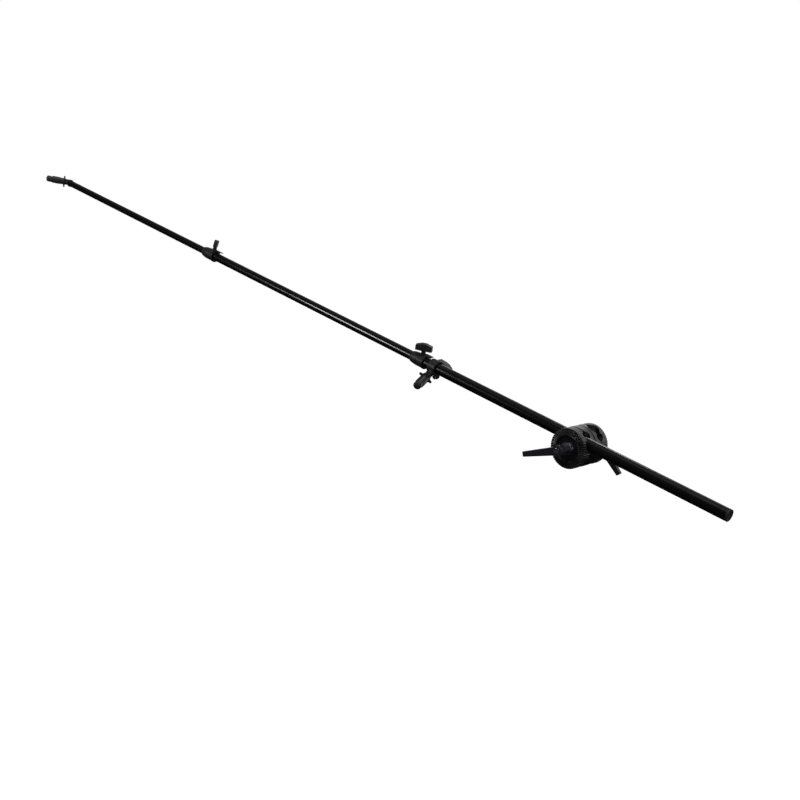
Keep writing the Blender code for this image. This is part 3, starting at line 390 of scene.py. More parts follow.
def frame_in(
    parent: Matrix, origin: Sequence[float], x_axis: Sequence[float], z_axis: Sequence[float],
) -> Matrix:
    """Works out where a frame is in the world.

    Args:
        parent: The world matrix of the parent.
        origin: The frame's origin in its parent.
        x_axis: About where its X points in its parent.
        z_axis: Where its Z points in its parent.

    Returns:
        The frame's world matrix.
    """
    z_axis = Vector(z_axis).normalized()
    x_axis = Vector(x_axis)
    x_axis = (x_axis - x_axis.project(z_axis)).normalized()
    turn = Matrix((x_axis, z_axis.cross(x_axis), z_axis)).transposed().to_4x4()
    return parent @ Matrix.Translation(origin) @ turn


def stepped_hole(narrow: float, wide: float, step: float, top: float) -> Obj:
    """Makes the cutter of a hole about Z that is wide up to a step and narrow over it."""
    profile = [(0.0, top), (narrow, top), (narrow, step), (wide, step), (wide, 0.0), (0.0, 0.0)]
    return lathe(profile, BORE)


ACROSS_X = Matrix(((0, 0, 1, 0), (1, 0, 0, 0), (0, 1, 0, 0), (0, 0, 0, 1)))
TO_X = about("Y", math.pi / 2)


# Finishes


class Board:
    """A node tree on which nodes are placed and wired."""

    def __init__(self, tree: Tree) -> None:
        """Takes the tree that the nodes go into."""
        self.tree = tree

    def put(self, kind: str, inputs: Inputs | None = None, **settings: object) -> Node:
        """Places a node.

        Args:
            kind: The node's type.
            inputs: A value or another node's output for each socket, by name or number.
            settings: The node's own settings.

        Returns:
            The node.
        """
        node = self.tree.nodes.new(kind)
        for name, value in settings.items():
            setattr(node, name, value)
        for key, value in (inputs or {}).items():
            if isinstance(value, Socket):
                self.tree.links.new(value, node.inputs[key])
            else:
                node.inputs[key].default_value = value
        return node

    def mix(self, factor: Socket, first: object, second: object) -> Socket:
        """Mixes two colours by a mask and returns the colour."""
        inputs = {0: factor, 6: first, 7: second}
        return self.put("ShaderNodeMix", inputs, data_type="RGBA").outputs[2]

    def spread(self, value: Socket, low: float, high: float) -> Socket:
        """Spreads a mask between two numbers and returns the result."""
        inputs = {"Value": value, "To Min": low, "To Max": high}
        return self.put("ShaderNodeMapRange", inputs).outputs["Result"]

    def between(self, value: Socket, low: object, high: object) -> Socket:
        """Spreads the part of a value between two limits over 0 to 1 and returns the result."""
        inputs = {"Value": value, "From Min": low, "From Max": high}
        return self.put("ShaderNodeMapRange", inputs).outputs["Result"]

    def noise(self, vector: object, scale: object, detail: float, bend: float = 0.0) -> Socket:
        """Places a noise texture and returns its value."""
        inputs = {"Vector": vector, "Scale": scale, "Detail": detail, "Distortion": bend}
        return self.put("ShaderNodeTexNoise", inputs).outputs["Fac"]

    def product(self, first: object, second: object) -> Socket:
        """Multiplies two values and returns the result."""
        return self.put("ShaderNodeMath", {0: first, 1: second}, operation="MULTIPLY").outputs[0]

    def bump(self, height: Socket, depth: float) -> Socket:
        """Turns a height into a normal, with the depth in metres, and returns it."""
        return self.put("ShaderNodeBump", {"Height": height, "Distance": depth}).outputs["Normal"]

    def effect(self, effect: "Effect", inputs: Inputs) -> Node:
        """Places a shared effect and returns its node."""
        return self.put("ShaderNodeGroup", inputs, node_tree=effect.group())


class Effect(Enum):
    """Effects that several finishes share, each one node group."""

    GRAIN = "fine_grain"
    WEAR = "edge_wear"
    HANDLING = "handling_marks"

    def group(self) -> Tree:
        """Returns the effect's node group, which is built the first time."""
        builders = {Effect.GRAIN: grain_group, Effect.WEAR: wear_group, Effect.HANDLING: handling_group}
        return bpy.data.node_groups.get(self.value) or builders[self]()


def new_group(effect: Effect, values: dict[str, float], outputs: Sequence[str]) -> tuple[Board, Node]:
    """Starts a node group, whose first input is a vector.

    Args:
        effect: Which effect it is for.
        values: The first value of each further input, by name.
        outputs: The name of each output, all of them plain values.

    Returns:
        The board of the group and its input node.
    """
    tree = bpy.data.node_groups.new(effect.value, "ShaderNodeTree")
    tree.interface.new_socket(name="Vector", in_out="INPUT", socket_type="NodeSocketVector")
    for name, value in values.items():
        socket = tree.interface.new_socket(name=name, in_out="INPUT", socket_type="NodeSocketFloat")
        socket.default_value = value
    for name in outputs:
        tree.interface.new_socket(name=name, in_out="OUTPUT", socket_type="NodeSocketFloat")
    board = Board(tree)
    return board, board.put("NodeGroupInput")


def grain_group() -> Tree:
    """Builds the fine grain of moulded and powder-coated faces: its height, and a slow mottle.

    Returns:
        The node group.
    """
    board, given = new_group(Effect.GRAIN, {"Scale": 2000.0}, ["Height", "Mottle"])
    vector, scale = given.outputs["Vector"], given.outputs["Scale"]
    pebble = board.put("ShaderNodeTexVoronoi", {"Vector": vector, "Scale": scale}, feature="SMOOTH_F1")
    height = board.product(pebble.outputs["Distance"], board.noise(vector, scale, 3.0))
    mottle = board.noise(vector, board.product(scale, 0.08), 4.0)
    board.put("NodeGroupOutput", {"Height": height, "Mottle": mottle})
    return board.tree


def wear_group() -> Tree:
    """Builds the wear along outer edges, broken up so that it doesn't look drawn.

    Returns:
        The node group.
    """
    board, given = new_group(Effect.WEAR, {"Start": 0.54, "End": 0.62}, ["Mask"])
    edge = board.put("ShaderNodeNewGeometry").outputs["Pointiness"]
    along = board.between(edge, given.outputs["Start"], given.outputs["End"])
    broken = board.between(board.noise(given.outputs["Vector"], 420.0, 5.0), 0.38, 0.66)
    board.put("NodeGroupOutput", {"Mask": board.product(along, broken)})
    return board.tree


def handling_group() -> Tree:
    """Builds the faint marks that hands and a bag leave on a finish.

    Returns:
        The node group.
    """
    board, given = new_group(Effect.HANDLING, {"Scale": 60.0}, ["Mask"])
    noise = board.noise(given.outputs["Vector"], given.outputs["Scale"], 6.0, 0.6)
    board.put("NodeGroupOutput", {"Mask": board.between(noise, 0.35, 0.70)})
    return board.tree


@dataclass(frozen=True, kw_only=True)
class Finish:
    """What every finish has: its colours, its sheen and the size of its grain."""

    slot: Slot
    colour: Triple
    pale: Triple
    roughness: Pair
    metallic: float = 0.0
    specular: float = 0.5
    grain: float = 1800.0
    depth: float = 0.00003
    name: str = ""

    def material(self) -> bpy.types.Material:
        """Builds the finish's material the first time, and finds it later.

        Returns:
            The material.
        """
        name = f"{self.name or self.slot.value}_finish"
        found = bpy.data.materials.get(name)
        if found:
            return found
        material = bpy.data.materials.new(name)
        material.use_nodes = True
        board = Board(material.node_tree)
        shader = board.tree.nodes["Principled BSDF"]
        shader.inputs["Metallic"].default_value = self.metallic
        shader.inputs["Specular IOR Level"].default_value = self.specular
        colour, gloss, normal = self.surface(board, board.put("ShaderNodeTexCoord").outputs["Object"])
        for name, value in (("Base Color", colour), ("Roughness", gloss), ("Normal", normal)):
            board.tree.links.new(value, shader.inputs[name])
        return material

    def surface(self, board: Board, place: Socket) -> Wired:
        """Wires the finish.

        Args:
            board: The material's board.
            place: Where a point is on the holder.

        Returns:
            The colour, the roughness and the normal.
        """
        grain = board.effect(Effect.GRAIN, {"Vector": place, "Scale": self.grain})
        marks = board.effect(Effect.HANDLING, {"Vector": place, "Scale": 90.0})
        colour = board.mix(grain.outputs["Mottle"], (*self.colour, 1.0), (*self.pale, 1.0))
        gloss = board.spread(marks.outputs["Mask"], *self.roughness)
        return colour, gloss, board.bump(grain.outputs["Height"], self.depth)


@dataclass(frozen=True, kw_only=True)
class Coat(Finish):
    """Powder coat or moulded plastic, rubbed along its outer edges."""

    worn: Triple
    wear: Pair = (0.53, 0.60)

    def surface(self, board: Board, place: Socket) -> Wired:
        """Wires the finish with the worn edges over it.

        Args:
            board: The material's board.
            place: Where a point is on the holder.

        Returns:
            The colour, the roughness and the normal.
        """
        colour, gloss, normal = super().surface(board, place)
        ends = {"Vector": place, "Start": self.wear[0], "End": self.wear[1]}
        rubbed = board.effect(Effect.WEAR, ends).outputs["Mask"]
        return board.mix(rubbed, colour, (*self.worn, 1.0)), gloss, normal


@dataclass(frozen=True, kw_only=True)
class DrawnCoat(Finish):
    """Black coat on drawn tube, which shows faint lines along the tube."""

    rise: float
    stretch: float = 40.0
    line_scale: float = 900.0

    def surface(self, board: Board, place: Socket) -> Wired:
        """Wires the finish with its lines.

        Args:
            board: The material's board.
            place: Where a point is on the holder.

        Returns:
            The colour, the roughness and the normal.
        """
        turn = (0.0, self.rise - math.pi / 2, 0.0)
        inputs = {"Vector": place, "Rotation": turn, "Scale": (1.0, 1.0, self.stretch)}
        along = board.put("ShaderNodeMapping", inputs, vector_type="TEXTURE").outputs["Vector"]
        lines = board.noise(along, self.line_scale, 4.0)
        marks = board.effect(Effect.HANDLING, {"Vector": place, "Scale": 45.0})
        grain = board.effect(Effect.GRAIN, {"Vector": place, "Scale": self.grain})
        colour = board.mix(lines, (*self.colour, 1.0), (*self.pale, 1.0))
        mask = board.product(lines, marks.outputs["Mask"])
        height = board.product(lines, grain.outputs["Mottle"])
        return colour, board.spread(mask, *self.roughness), board.bump(height, self.depth)


@dataclass(frozen=True, kw_only=True)
class Metal(Finish):
    """Bare or plated metal."""

    metallic: float = 1.0
    grain: float = 1500.0


@dataclass(frozen=True)
class Layout:
    """Where the holder's main pieces are."""

    boom_rise: float = math.radians(16.0)
    jaw_depth: float = 0.0148
    base_radius: float = 0.0095
    middle_radius: float = 0.0082
    tip_radius: float = 0.0070
    tube_wall: float = 0.0008
    bolt_hole: float = 0.0053
    butt_behind: float = 0.266
    base_collar: float = 0.3230
    middle_collar: float = 0.9263
    collar_mouth: float = 0.0160
    collar_screw: float = 0.0090
    base_roll: float = math.radians(-7.5)
    middle_roll: float = math.radians(9.0)
    tip_mouth: float = 1.4970
    overlap: float = 0.049

    @property
    def chord(self) -> float:
        """How far the stand's stud and the boom lie beside the head's bolt."""
        return self.base_radius + self.bolt_hole

    def rear_jaws(self) -> Matrix:
        """Returns the frame of the rear pair of jaws, whose Z points out of the head."""
        return frame_in(Matrix.Identity(4), (-self.chord, 0, 0), (0, 0, 1), (0, 1, 0))

    def front_jaws(self) -> Matrix:
        """Returns the frame of the front pair of jaws, whose X points down the boom."""
        downhill = (math.cos(self.boom_rise), 0.0, -math.sin(self.boom_rise))
        return frame_in(Matrix.Identity(4), (-self.chord, -2 * self.jaw_depth, 0), downhill, (0, -1, 0))

    def boom(self, ahead: float = 0.0) -> Matrix:
        """Returns a frame on the boom's axis, whose Z points at the tip and X upward."""
        start = frame_in(self.front_jaws(), (0, self.chord, 0), (0, 1, 0), (-1, 0, 0))
        return start @ shift(0.0, 0.0, ahead)


BODY_OF: dict[str, str] = {
    node: body for body, nodes in frame["record"]["behaviour"]["bodies"].items() for node in nodes
}
LAYOUT = Layout()
CAST_BLACK = Coat(
    slot=Slot.CAST_BLACK, colour=(0.0022, 0.0022, 0.0027), pale=(0.0055, 0.0055, 0.0066),
    worn=(0.045, 0.045, 0.050), roughness=(0.20, 0.30), specular=0.45, grain=2600.0, depth=0.00002,
)
LEVER_BLACK = Coat(
    name="lever_black", slot=Slot.CAST_BLACK, colour=(0.0065, 0.0065, 0.0095), pale=(0.0110, 0.0110, 0.0155),
    worn=(0.060, 0.060, 0.070), roughness=(0.22, 0.32), specular=0.50, grain=2600.0, depth=0.00002,
)
SATIN_BLACK = DrawnCoat(
    slot=Slot.SATIN_BLACK, colour=(0.0012, 0.0012, 0.0015), pale=(0.0026, 0.0026, 0.0030),
    roughness=(0.20, 0.26), specular=0.45, grain=900.0, depth=0.0000012, rise=LAYOUT.boom_rise,
)
PLASTIC = Coat(
    slot=Slot.PLASTIC, colour=(0.0060, 0.0055, 0.0070), pale=(0.0125, 0.0115, 0.0142),
    worn=(0.032, 0.030, 0.036), roughness=(0.36, 0.52), specular=0.30, grain=3000.0, depth=0.00005,
)
PLATED = Metal(
    slot=Slot.PLATED, colour=(0.42, 0.42, 0.44), pale=(0.60, 0.60, 0.62),
    roughness=(0.20, 0.38), depth=0.00001,
)
DARK_PLATED = Metal(
    name="dark_plated", slot=Slot.PLATED, colour=(0.11, 0.12, 0.14), pale=(0.17, 0.18, 0.21),
    roughness=(0.34, 0.48), depth=0.00001,
)
STEEL = Metal(
    slot=Slot.STEEL, colour=(0.28, 0.28, 0.29), pale=(0.40, 0.40, 0.41),
    roughness=(0.34, 0.50), depth=0.00002,
)
BRASS = Metal(
    slot=Slot.BRASS, colour=(0.52, 0.38, 0.16), pale=(0.66, 0.50, 0.24),
    roughness=(0.30, 0.46), depth=0.00002,
)
FIBRE = Coat(
    slot=Slot.FIBRE, colour=(0.080, 0.050, 0.026), pale=(0.130, 0.085, 0.045), worn=(0.16, 0.11, 0.07),
    roughness=(0.70, 0.88), specular=0.3, grain=1200.0, depth=0.00010,
)


def dress(obj: Obj, node: str, place: Matrix, finish: Finish) -> Obj:
    """Sets a piece in its place with its finish, and lets it stand for a plain solid.

    Args:
        obj: The piece, in its own frame.
        node: The solid that it stands for.
        place: The frame's place in the world.
        finish: The piece's finish.

    Returns:
        The piece.
    """
    moved(obj, place)
    obj.name = obj.data.name = f"{node}_fine"
    obj.data.materials.clear()
    obj.data.materials.append(finish.material())
    obj.data.shade_smooth()
    obj.data.set_sharp_from_angle(angle=SMOOTH_ANGLE)
    weighted = obj.modifiers.new("normals", "WEIGHTED_NORMAL")
    weighted.keep_sharp = True
    settle(obj).data.name = f"{node}_fine"
    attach(obj, BODY_OF[node])
    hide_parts(node)
    LOG.info("%s: %d faces on %s", obj.name, len(obj.data.polygons), BODY_OF[node])
    return obj


# Grip head


@dataclass
class Jaws:
    """The four grooved discs of the grip head."""

    layout: Layout
    radius: float = 0.03175
    outer_depth: float = 0.0185
    chamfer: float = 0.0012
    tooth_depth: float = 0.0010
    knurl_depth: float = 0.0004
    toothed_from: float = 0.0215
    ring_drop: float = 0.0022
    dish_radius: float = 0.0200
    dish_depth: float = 0.0028
    hub_radius: float = 0.0100
    hub_drop: float = 0.0008
    washer_radius: float = 0.0220
    washer: float = 0.0016
    flange_radius: float = 0.0080
    flange: float = 0.0020
    groove_relief: float = 0.0013
    groove_chord: float = 0.0160
    small_rods: tuple[float, ...] = (0.00635, 0.00475, 0.0032)
    teeth: Serration = Serration()

    def groove(self, rod_radius: float, chord: float, quarter: int) -> Obj:
        """Makes a V groove's cutter, a quarter turn per step about the bolt.

        Args:
            rod_radius: The radius of the rod that the groove holds.
            chord: How far the rod's axis passes beside the bolt.
            quarter: How many quarter turns about the bolt the groove is.

        Returns:
            The cutter.
        """
        widest = (rod_radius + GAP) * math.sqrt(2.0)
        deepest = rod_radius + self.groove_relief
        floor = widest - deepest
        half = [(-widest, 0.0), (-floor, -deepest), (floor, -deepest), (widest, 0.0)]
        outline = half + [(floor, deepest), (-floor, deepest)]
        reach = self.radius + OVERCUT
        place = about("Z", -quarter * math.pi / 2) @ shift(0.0, chord, 0.0)
        return moved(prism(outline, -reach, reach), place @ ACROSS_X)

    def grooved(self, jaw: Obj) -> Obj:
        """Cuts the four rod grooves, the largest for the boom or stud.

        Args:
            jaw: The jaw that changes.

        Returns:
            The jaw.
        """
        cutters = [self.groove(self.layout.base_radius, self.layout.chord, 0)]
        for quarter, rod_radius in enumerate(self.small_rods, start=1):
            cutters.append(self.groove(rod_radius, self.groove_chord, quarter))
        return combine(jaw, Join.CUT, *cutters)

    def outer(self) -> Obj:
        """Makes an outer jaw: hub, dish, toothed bevelled ring and knurled rim.

        Returns:
            The jaw.
        """
        face, soft = self.outer_depth, 0.0005
        hub, dish = face - self.hub_drop, face - self.dish_depth
        bore, knurl, tooth = self.layout.bolt_hole, self.knurl_depth, self.tooth_depth
        rim = face - self.ring_drop
        slope = self.ring_drop / (self.radius - self.toothed_from)
        knurled, toothed = (knurl, tooth / 2), (0.0, tooth)
        profile: list[tuple[float, ...]] = [(bore, hub - soft), (bore + soft, hub)]
        profile += [(self.hub_radius - soft, hub), (self.hub_radius, hub - soft)]
        profile += [(self.hub_radius + soft, dish + soft), (self.hub_radius + 2 * soft, dish)]
        profile += [(self.dish_radius - 2 * soft, dish), (self.dish_radius - soft, dish + soft)]
        profile += [(self.dish_radius, face - soft), (self.dish_radius + soft, face)]
        profile += [(self.toothed_from, face)]
        profile += [(self.toothed_from + 2 * soft, face - 2 * soft * slope, *toothed)]
        profile += [(self.radius - soft, rim + soft * slope, *toothed)]
        profile += [(self.radius, rim - soft, *knurled), (self.radius, self.chamfer + soft, knurl, 0.0)]
        profile += [(self.radius, self.chamfer), (self.radius - self.chamfer, GAP), (bore, GAP)]
        return self.grooved(lathe(profile, ring=True, teeth=self.teeth))

    def inner(self, flange_pocket: bool) -> Obj:
        """Makes an inner jaw, with the washer's recess in its back.

        Args:
            flange_pocket: Whether it also has a pocket for the stud's flange.

        Returns:
            The jaw.
        """
        back = GAP / 2 - self.layout.jaw_depth
        floor = self.washer / 2 + GAP - self.layout.jaw_depth
        recess = self.washer_radius + GAP
        bore, soft, edge = self.layout.bolt_hole, 0.0004, self.chamfer
        profile = [(bore, -GAP), (self.radius - edge, -GAP), (self.radius, -edge)]
        profile += [(self.radius, back + edge), (self.radius - edge, back)]
        profile += [(recess, back), (recess, floor)]
        if flange_pocket:
            pocket, pocket_floor = self.flange_radius + GAP, floor + self.flange + 2 * GAP
            profile += [(pocket, floor), (pocket, pocket_floor), (bore, pocket_floor)]
        else:
            profile.append((bore, floor))
        return self.grooved(lathe(rounded(profile, soft, closed=True), FINE, ring=True))

    def build(self) -> None:
        """Makes both pairs of jaws."""
        rear, front = self.layout.rear_jaws(), self.layout.front_jaws()
        for end, place in ((End.REAR, rear), (End.FRONT, front)):
            dress(self.outer(), f"{end.value}_outer_jaw", place, CAST_BLACK)
            dress(self.inner(end is End.REAR), f"{end.value}_inner_jaw", place, CAST_BLACK)


@dataclass
class RatchetLever:
    """The washer, sleeve, screw, spring and lever that clamp one end of the head."""

    layout: Layout
    end: End
    drop: float
    seat: float = 0.0180
    washer_radius: float = 0.0095
    washer: float = 0.0012
    sleeve_radius: float = 0.0075
    sleeve_top: float = 0.0318
    rings: int = 3
    ring_depth: float = 0.0008
    spline_radius: float = 0.0055
    spline_top: float = 0.0368
    web: float = 0.0015
    hub_radius: float = 0.0092
    hub_top: float = 0.0440
    pocket_radius: float = 0.0052
    screw_radius: float = 0.0022
    screw_head: float = 0.0016
    screw_head_radius: float = 0.0046
    cross: Pair = (0.0024, 0.0005)
    bolt_end: float = 0.0300
    arm_start: float = 0.0058
    arm_length: float = 0.0600
    arm_root: Pair = (0.0138, 0.0080)
    arm_end: Pair = (0.0084, 0.0060)
    arm_rise: float = 0.0100
    wire: float = 0.00035
    spring_turns: float = 2.5
    lift: float = 0.0020

    @property
    def head_low(self) -> float:
        """The underside of the screw's head."""
        return self.hub_top - GAP - self.screw_head

    def place(self) -> Matrix:
        """Works out the clamp's frame, whose X points along the lever's arm.

        Returns:
            The frame's world matrix.
        """
        if self.end is End.REAR:
            arm = (-math.sin(self.drop), math.cos(self.drop), 0.0)
            return frame_in(self.layout.rear_jaws(), (0, 0, 0), arm, (0, 0, 1))
        below = self.drop + self.layout.boom_rise
        arm = (-math.cos(below), -math.sin(below), 0.0)
        return frame_in(self.layout.front_jaws(), (0, 0, 0), arm, (0, 0, 1))

    def sleeve(self) -> Obj:
        """Makes the threaded sleeve: ringed outside, bored for the bolt.

        Returns:
            The sleeve.
        """
        low = self.seat + self.washer + GAP
        bore, hole = self.layout.bolt_hole, self.screw_radius + GAP
        profile = [(hole, self.spline_top), (self.spline_radius, self.spline_top)]
        profile.append((self.spline_radius, self.sleeve_top))
        pitch = (self.sleeve_top - low) / (2 * self.rings + 1)
        groove = self.sleeve_radius - self.ring_depth
        for i in range(self.rings):
            top = self.sleeve_top - 2 * i * pitch
            profile += [(self.sleeve_radius, top), (self.sleeve_radius, top - pitch)]
            profile += [(groove, top - pitch), (groove, top - 2 * pitch)]
        profile += [(self.sleeve_radius, low + pitch), (self.sleeve_radius, low), (bore, low)]
        profile += [(bore, self.bolt_end + GAP), (hole, self.bolt_end + GAP)]
        return lathe(rounded(profile, 0.0003, closed=True, steps=2), ring=True)

    def screw(self) -> Obj:
        """Makes the screw that keeps the lever on its sleeve, with a cross in its head.

        Returns:
            The screw.
        """
        low, top = self.bolt_end + 4 * GAP, self.hub_top - GAP
        head, shank, step = self.screw_head_radius, self.screw_radius, self.head_low
        profile = [(0.0, top), (head, top), (head, step), (shank, step), (shank, low), (0.0, low)]
        screw = lathe(rounded(profile, 0.0005, steps=4))
        (length, width), floor = self.cross, top - self.screw_head / 2
        slot = block((-length, -width, floor), (length, width, top + OVERCUT))
        cross = block((-width, -length, floor), (width, length, top + OVERCUT))
        return combine(screw, Join.CUT, slot, cross)

    def arm(self) -> Obj:
        """Makes the lever's arm, which narrows and rises away from its hub.

        Returns:
            The arm.
        """
        share = self.arm_start / self.arm_length
        arm = block((self.arm_start, -0.5, -0.5), (self.arm_length, 0.5, 0.5))
        for vertex in arm.data.vertices:
            t = 1.0 if vertex.co.x > self.arm_length / 2 else share
            width, height = (a + (b - a) * t for a, b in zip(self.arm_root, self.arm_end))
            vertex.co.y *= width
            vertex.co.z = vertex.co.z * height + self.arm_rise * t
        softened(arm, 0.0011, 3)
        height = self.hub_top - self.arm_root[1] / 2 - GAP
        return moved(arm, shift(0.0, 0.0, height - self.arm_rise * self.hub_radius / self.arm_length))

    def lever(self) -> Obj:
        """Makes the lever: a hub with its bore and screw pocket, and the arm.

        Returns:
            The lever.
        """
        bottom = self.sleeve_top + GAP
        web = self.spline_top + GAP
        bore, hole = self.spline_radius + GAP, self.screw_radius + GAP
        profile = [(self.pocket_radius, self.hub_top), (self.hub_radius, self.hub_top)]
        profile += [(self.hub_radius, bottom), (bore, bottom), (bore, web), (hole, web)]
        profile += [(hole, web + self.web), (self.pocket_radius, web + self.web)]
        hub = lathe(rounded(profile, 0.0010, closed=True), ring=True)
        return combine(hub, Join.ADD, self.arm())

    def spring(self) -> Obj:
        """Makes the spring between the lever's web and its screw's head.

        Returns:
            The spring.
        """
        radius = (self.screw_radius + self.pocket_radius) / 2
        low = self.spline_top + self.web + 2 * GAP
        return coil(radius, self.wire, low, self.head_low - GAP, self.spring_turns)

    def build(self) -> None:
        """Makes the clamp and hangs it on the head."""
        name, place = self.end.value, self.place()
        top = self.seat + self.washer
        washer = pipe(self.washer_radius, self.layout.bolt_hole, self.seat, top, 0.0006, ROUND)
        dress(washer, f"{name}_lever_washer", place, PLATED)
        dress(self.sleeve(), f"{name}_lever_insert", place, DARK_PLATED)
        dress(self.screw(), f"{name}_lever_screw", place, PLATED)
        dress(self.lever(), f"{name}_lever", place, LEVER_BLACK)
        spring = dress(self.spring(), f"{name}_lever_spring", place, STEEL)
        top = self.head_low - GAP
        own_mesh(spring)


# Boom


@dataclass
class Tubes:
    """The three telescoping tubes of the boom and the cap in its butt end."""

    layout: Layout
    shoe_radius: float = 0.0030
    rim: float = 0.0003
    cap_length: float = 0.012
    cap_flange: float = 0.003

    def tube(self, radius: float, length: float, shoe_at: float | None = None, roll: float = 0.0) -> Obj:
        """Makes a tube from its frame's origin on, with the hole of its lock's shoe.

        Args:
            radius: The tube's outer radius.
            length: Its length.
            shoe_at: How far along the tube the shoe's hole is, if it has one.
            roll: How far the hole is turned about the tube.

        Returns:
            The tube.
        """
        tube = pipe(radius, radius - self.layout.tube_wall, 0.0, length, self.rim)
        if shoe_at is None:
            return tube
        hole = rod(self.shoe_radius + GAP, 0.0, radius + OVERCUT, 24)
        place = shift(0.0, 0.0, shoe_at) @ about("Z", roll) @ TO_X
        return combine(tube, Join.CUT, moved(hole, place))

    def cap(self) -> Obj:
        """Makes the cap of the butt end, with a shallow dish in its face.

        Returns:
            The cap.
        """
        radius = self.layout.base_radius
        spigot = radius - self.layout.tube_wall - GAP
        face, edge = -self.cap_flange, 0.0006
        profile = [(0.0, self.cap_length), (spigot, self.cap_length), (spigot, -GAP), (radius, -GAP)]
        profile += [(radius, face), (0.72 * radius, face), (0.64 * radius, face + edge), (0.0, face + edge)]
        return lathe(rounded(profile, edge))

    def build(self) -> None:
        """Makes the tubes and the cap."""
        at, screw = self.layout, self.layout.collar_screw
        base_mouth = at.base_collar + at.collar_mouth
        middle_start = base_mouth - at.overlap
        middle_mouth = at.middle_collar + at.collar_mouth
        tip_start = middle_mouth - at.overlap
        shoe_at = at.butt_behind + at.base_collar + screw
        base = self.tube(at.base_radius, at.butt_behind + base_mouth, shoe_at, at.base_roll)
        dress(base, "base_tube", at.boom(-at.butt_behind), SATIN_BLACK)
        dress(self.cap(), "base_tube_end_plug", at.boom(-at.butt_behind), PLASTIC)
        shoe_at = at.middle_collar - middle_start + screw
        middle = self.tube(at.middle_radius, middle_mouth - middle_start, shoe_at, at.middle_roll)
        dress(middle, "middle_tube", at.boom(middle_start), SATIN_BLACK)
        tip = self.tube(at.tip_radius, at.tip_mouth - tip_start)
        dress(tip, "tip_tube", at.boom(tip_start), SATIN_BLACK)


@dataclass
class LockHoles:
    """The holes of a lock: the screw's way in, and the wider way of its shoe."""

    screw_radius: float = 0.0025
    shoe_radius: float = 0.0030
    shoe_depth: float = 0.0026
    shoe_travel: float = 0.0008

    def cutter(self, seat: float) -> Obj:
        """Makes the holes' cutter about Z, from the tube's axis out past the seat."""
        roof = seat - self.shoe_depth + self.shoe_travel + GAP
        return stepped_hole(self.screw_radius + GAP, self.shoe_radius + GAP, roof, seat + OVERCUT)


@dataclass
class LockKnob:
    """A T-shaped lock knob: a crowned bar with tapered ends on a round stem."""

    name: str
    place: Matrix
    half_length: float = 0.0147
    middle_width: float = 0.0092
    end_width: float = 0.0078
    end_height: float = 0.0094
    crown: float = 0.0033
    shoulder: float = 0.0043
    stem_radius: float = 0.0040
    stem_length: float = 0.0056
    screw_way: float = 0.0028
    screw_depth: float = 0.0048
    edge: float = 0.0006
    crease: float = math.radians(8.0)

    def bar(self) -> Obj:
        """Makes the bar, highest over its stem and lower towards its ends.

        Returns:
            The bar.
        """
        low = GAP + self.stem_length
        stations = [(-self.half_length, self.end_width, self.end_height)]
        stations += [(-self.shoulder, self.middle_width, self.end_height + self.crown)]
        stations += [(self.shoulder, self.middle_width, self.end_height + self.crown)]
        stations += [(self.half_length, self.end_width, self.end_height)]
        vertices: list[Triple] = []
        for x, width, height in stations:
            vertices += [(x, y, z) for y, z in ((-width / 2, low), (width / 2, low))]
            vertices += [(x, y, low + height) for y in (width / 2, -width / 2)]
        faces: Faces = [(0, 1, 2, 3), (12, 13, 14, 15)]
        for i in range(3):
            for k in range(4):
                after = (k + 1) % 4
                faces.append((4 * i + k, 4 * i + after, 4 * i + 4 + after, 4 * i + 4 + k))
        return softened(solid(vertices, faces), self.edge, 2, self.crease)

    def build(self) -> None:
        """Makes the knob and hangs it on its screw."""
        low = GAP + self.stem_length
        root = self.stem_radius + self.edge
        profile = [(0.0, low + self.crown), (root, low + self.crown), (root, low)]
        profile += [(self.stem_radius, low - self.edge), (self.stem_radius, GAP), (0.0, GAP)]
        knob = combine(self.bar(), Join.ADD, lathe(rounded(profile, 0.0003), 48))
        combine(knob, Join.CUT, rod(self.screw_way, -OVERCUT, low + self.screw_depth, BORE))
        dress(knob, self.name, self.place, PLASTIC)


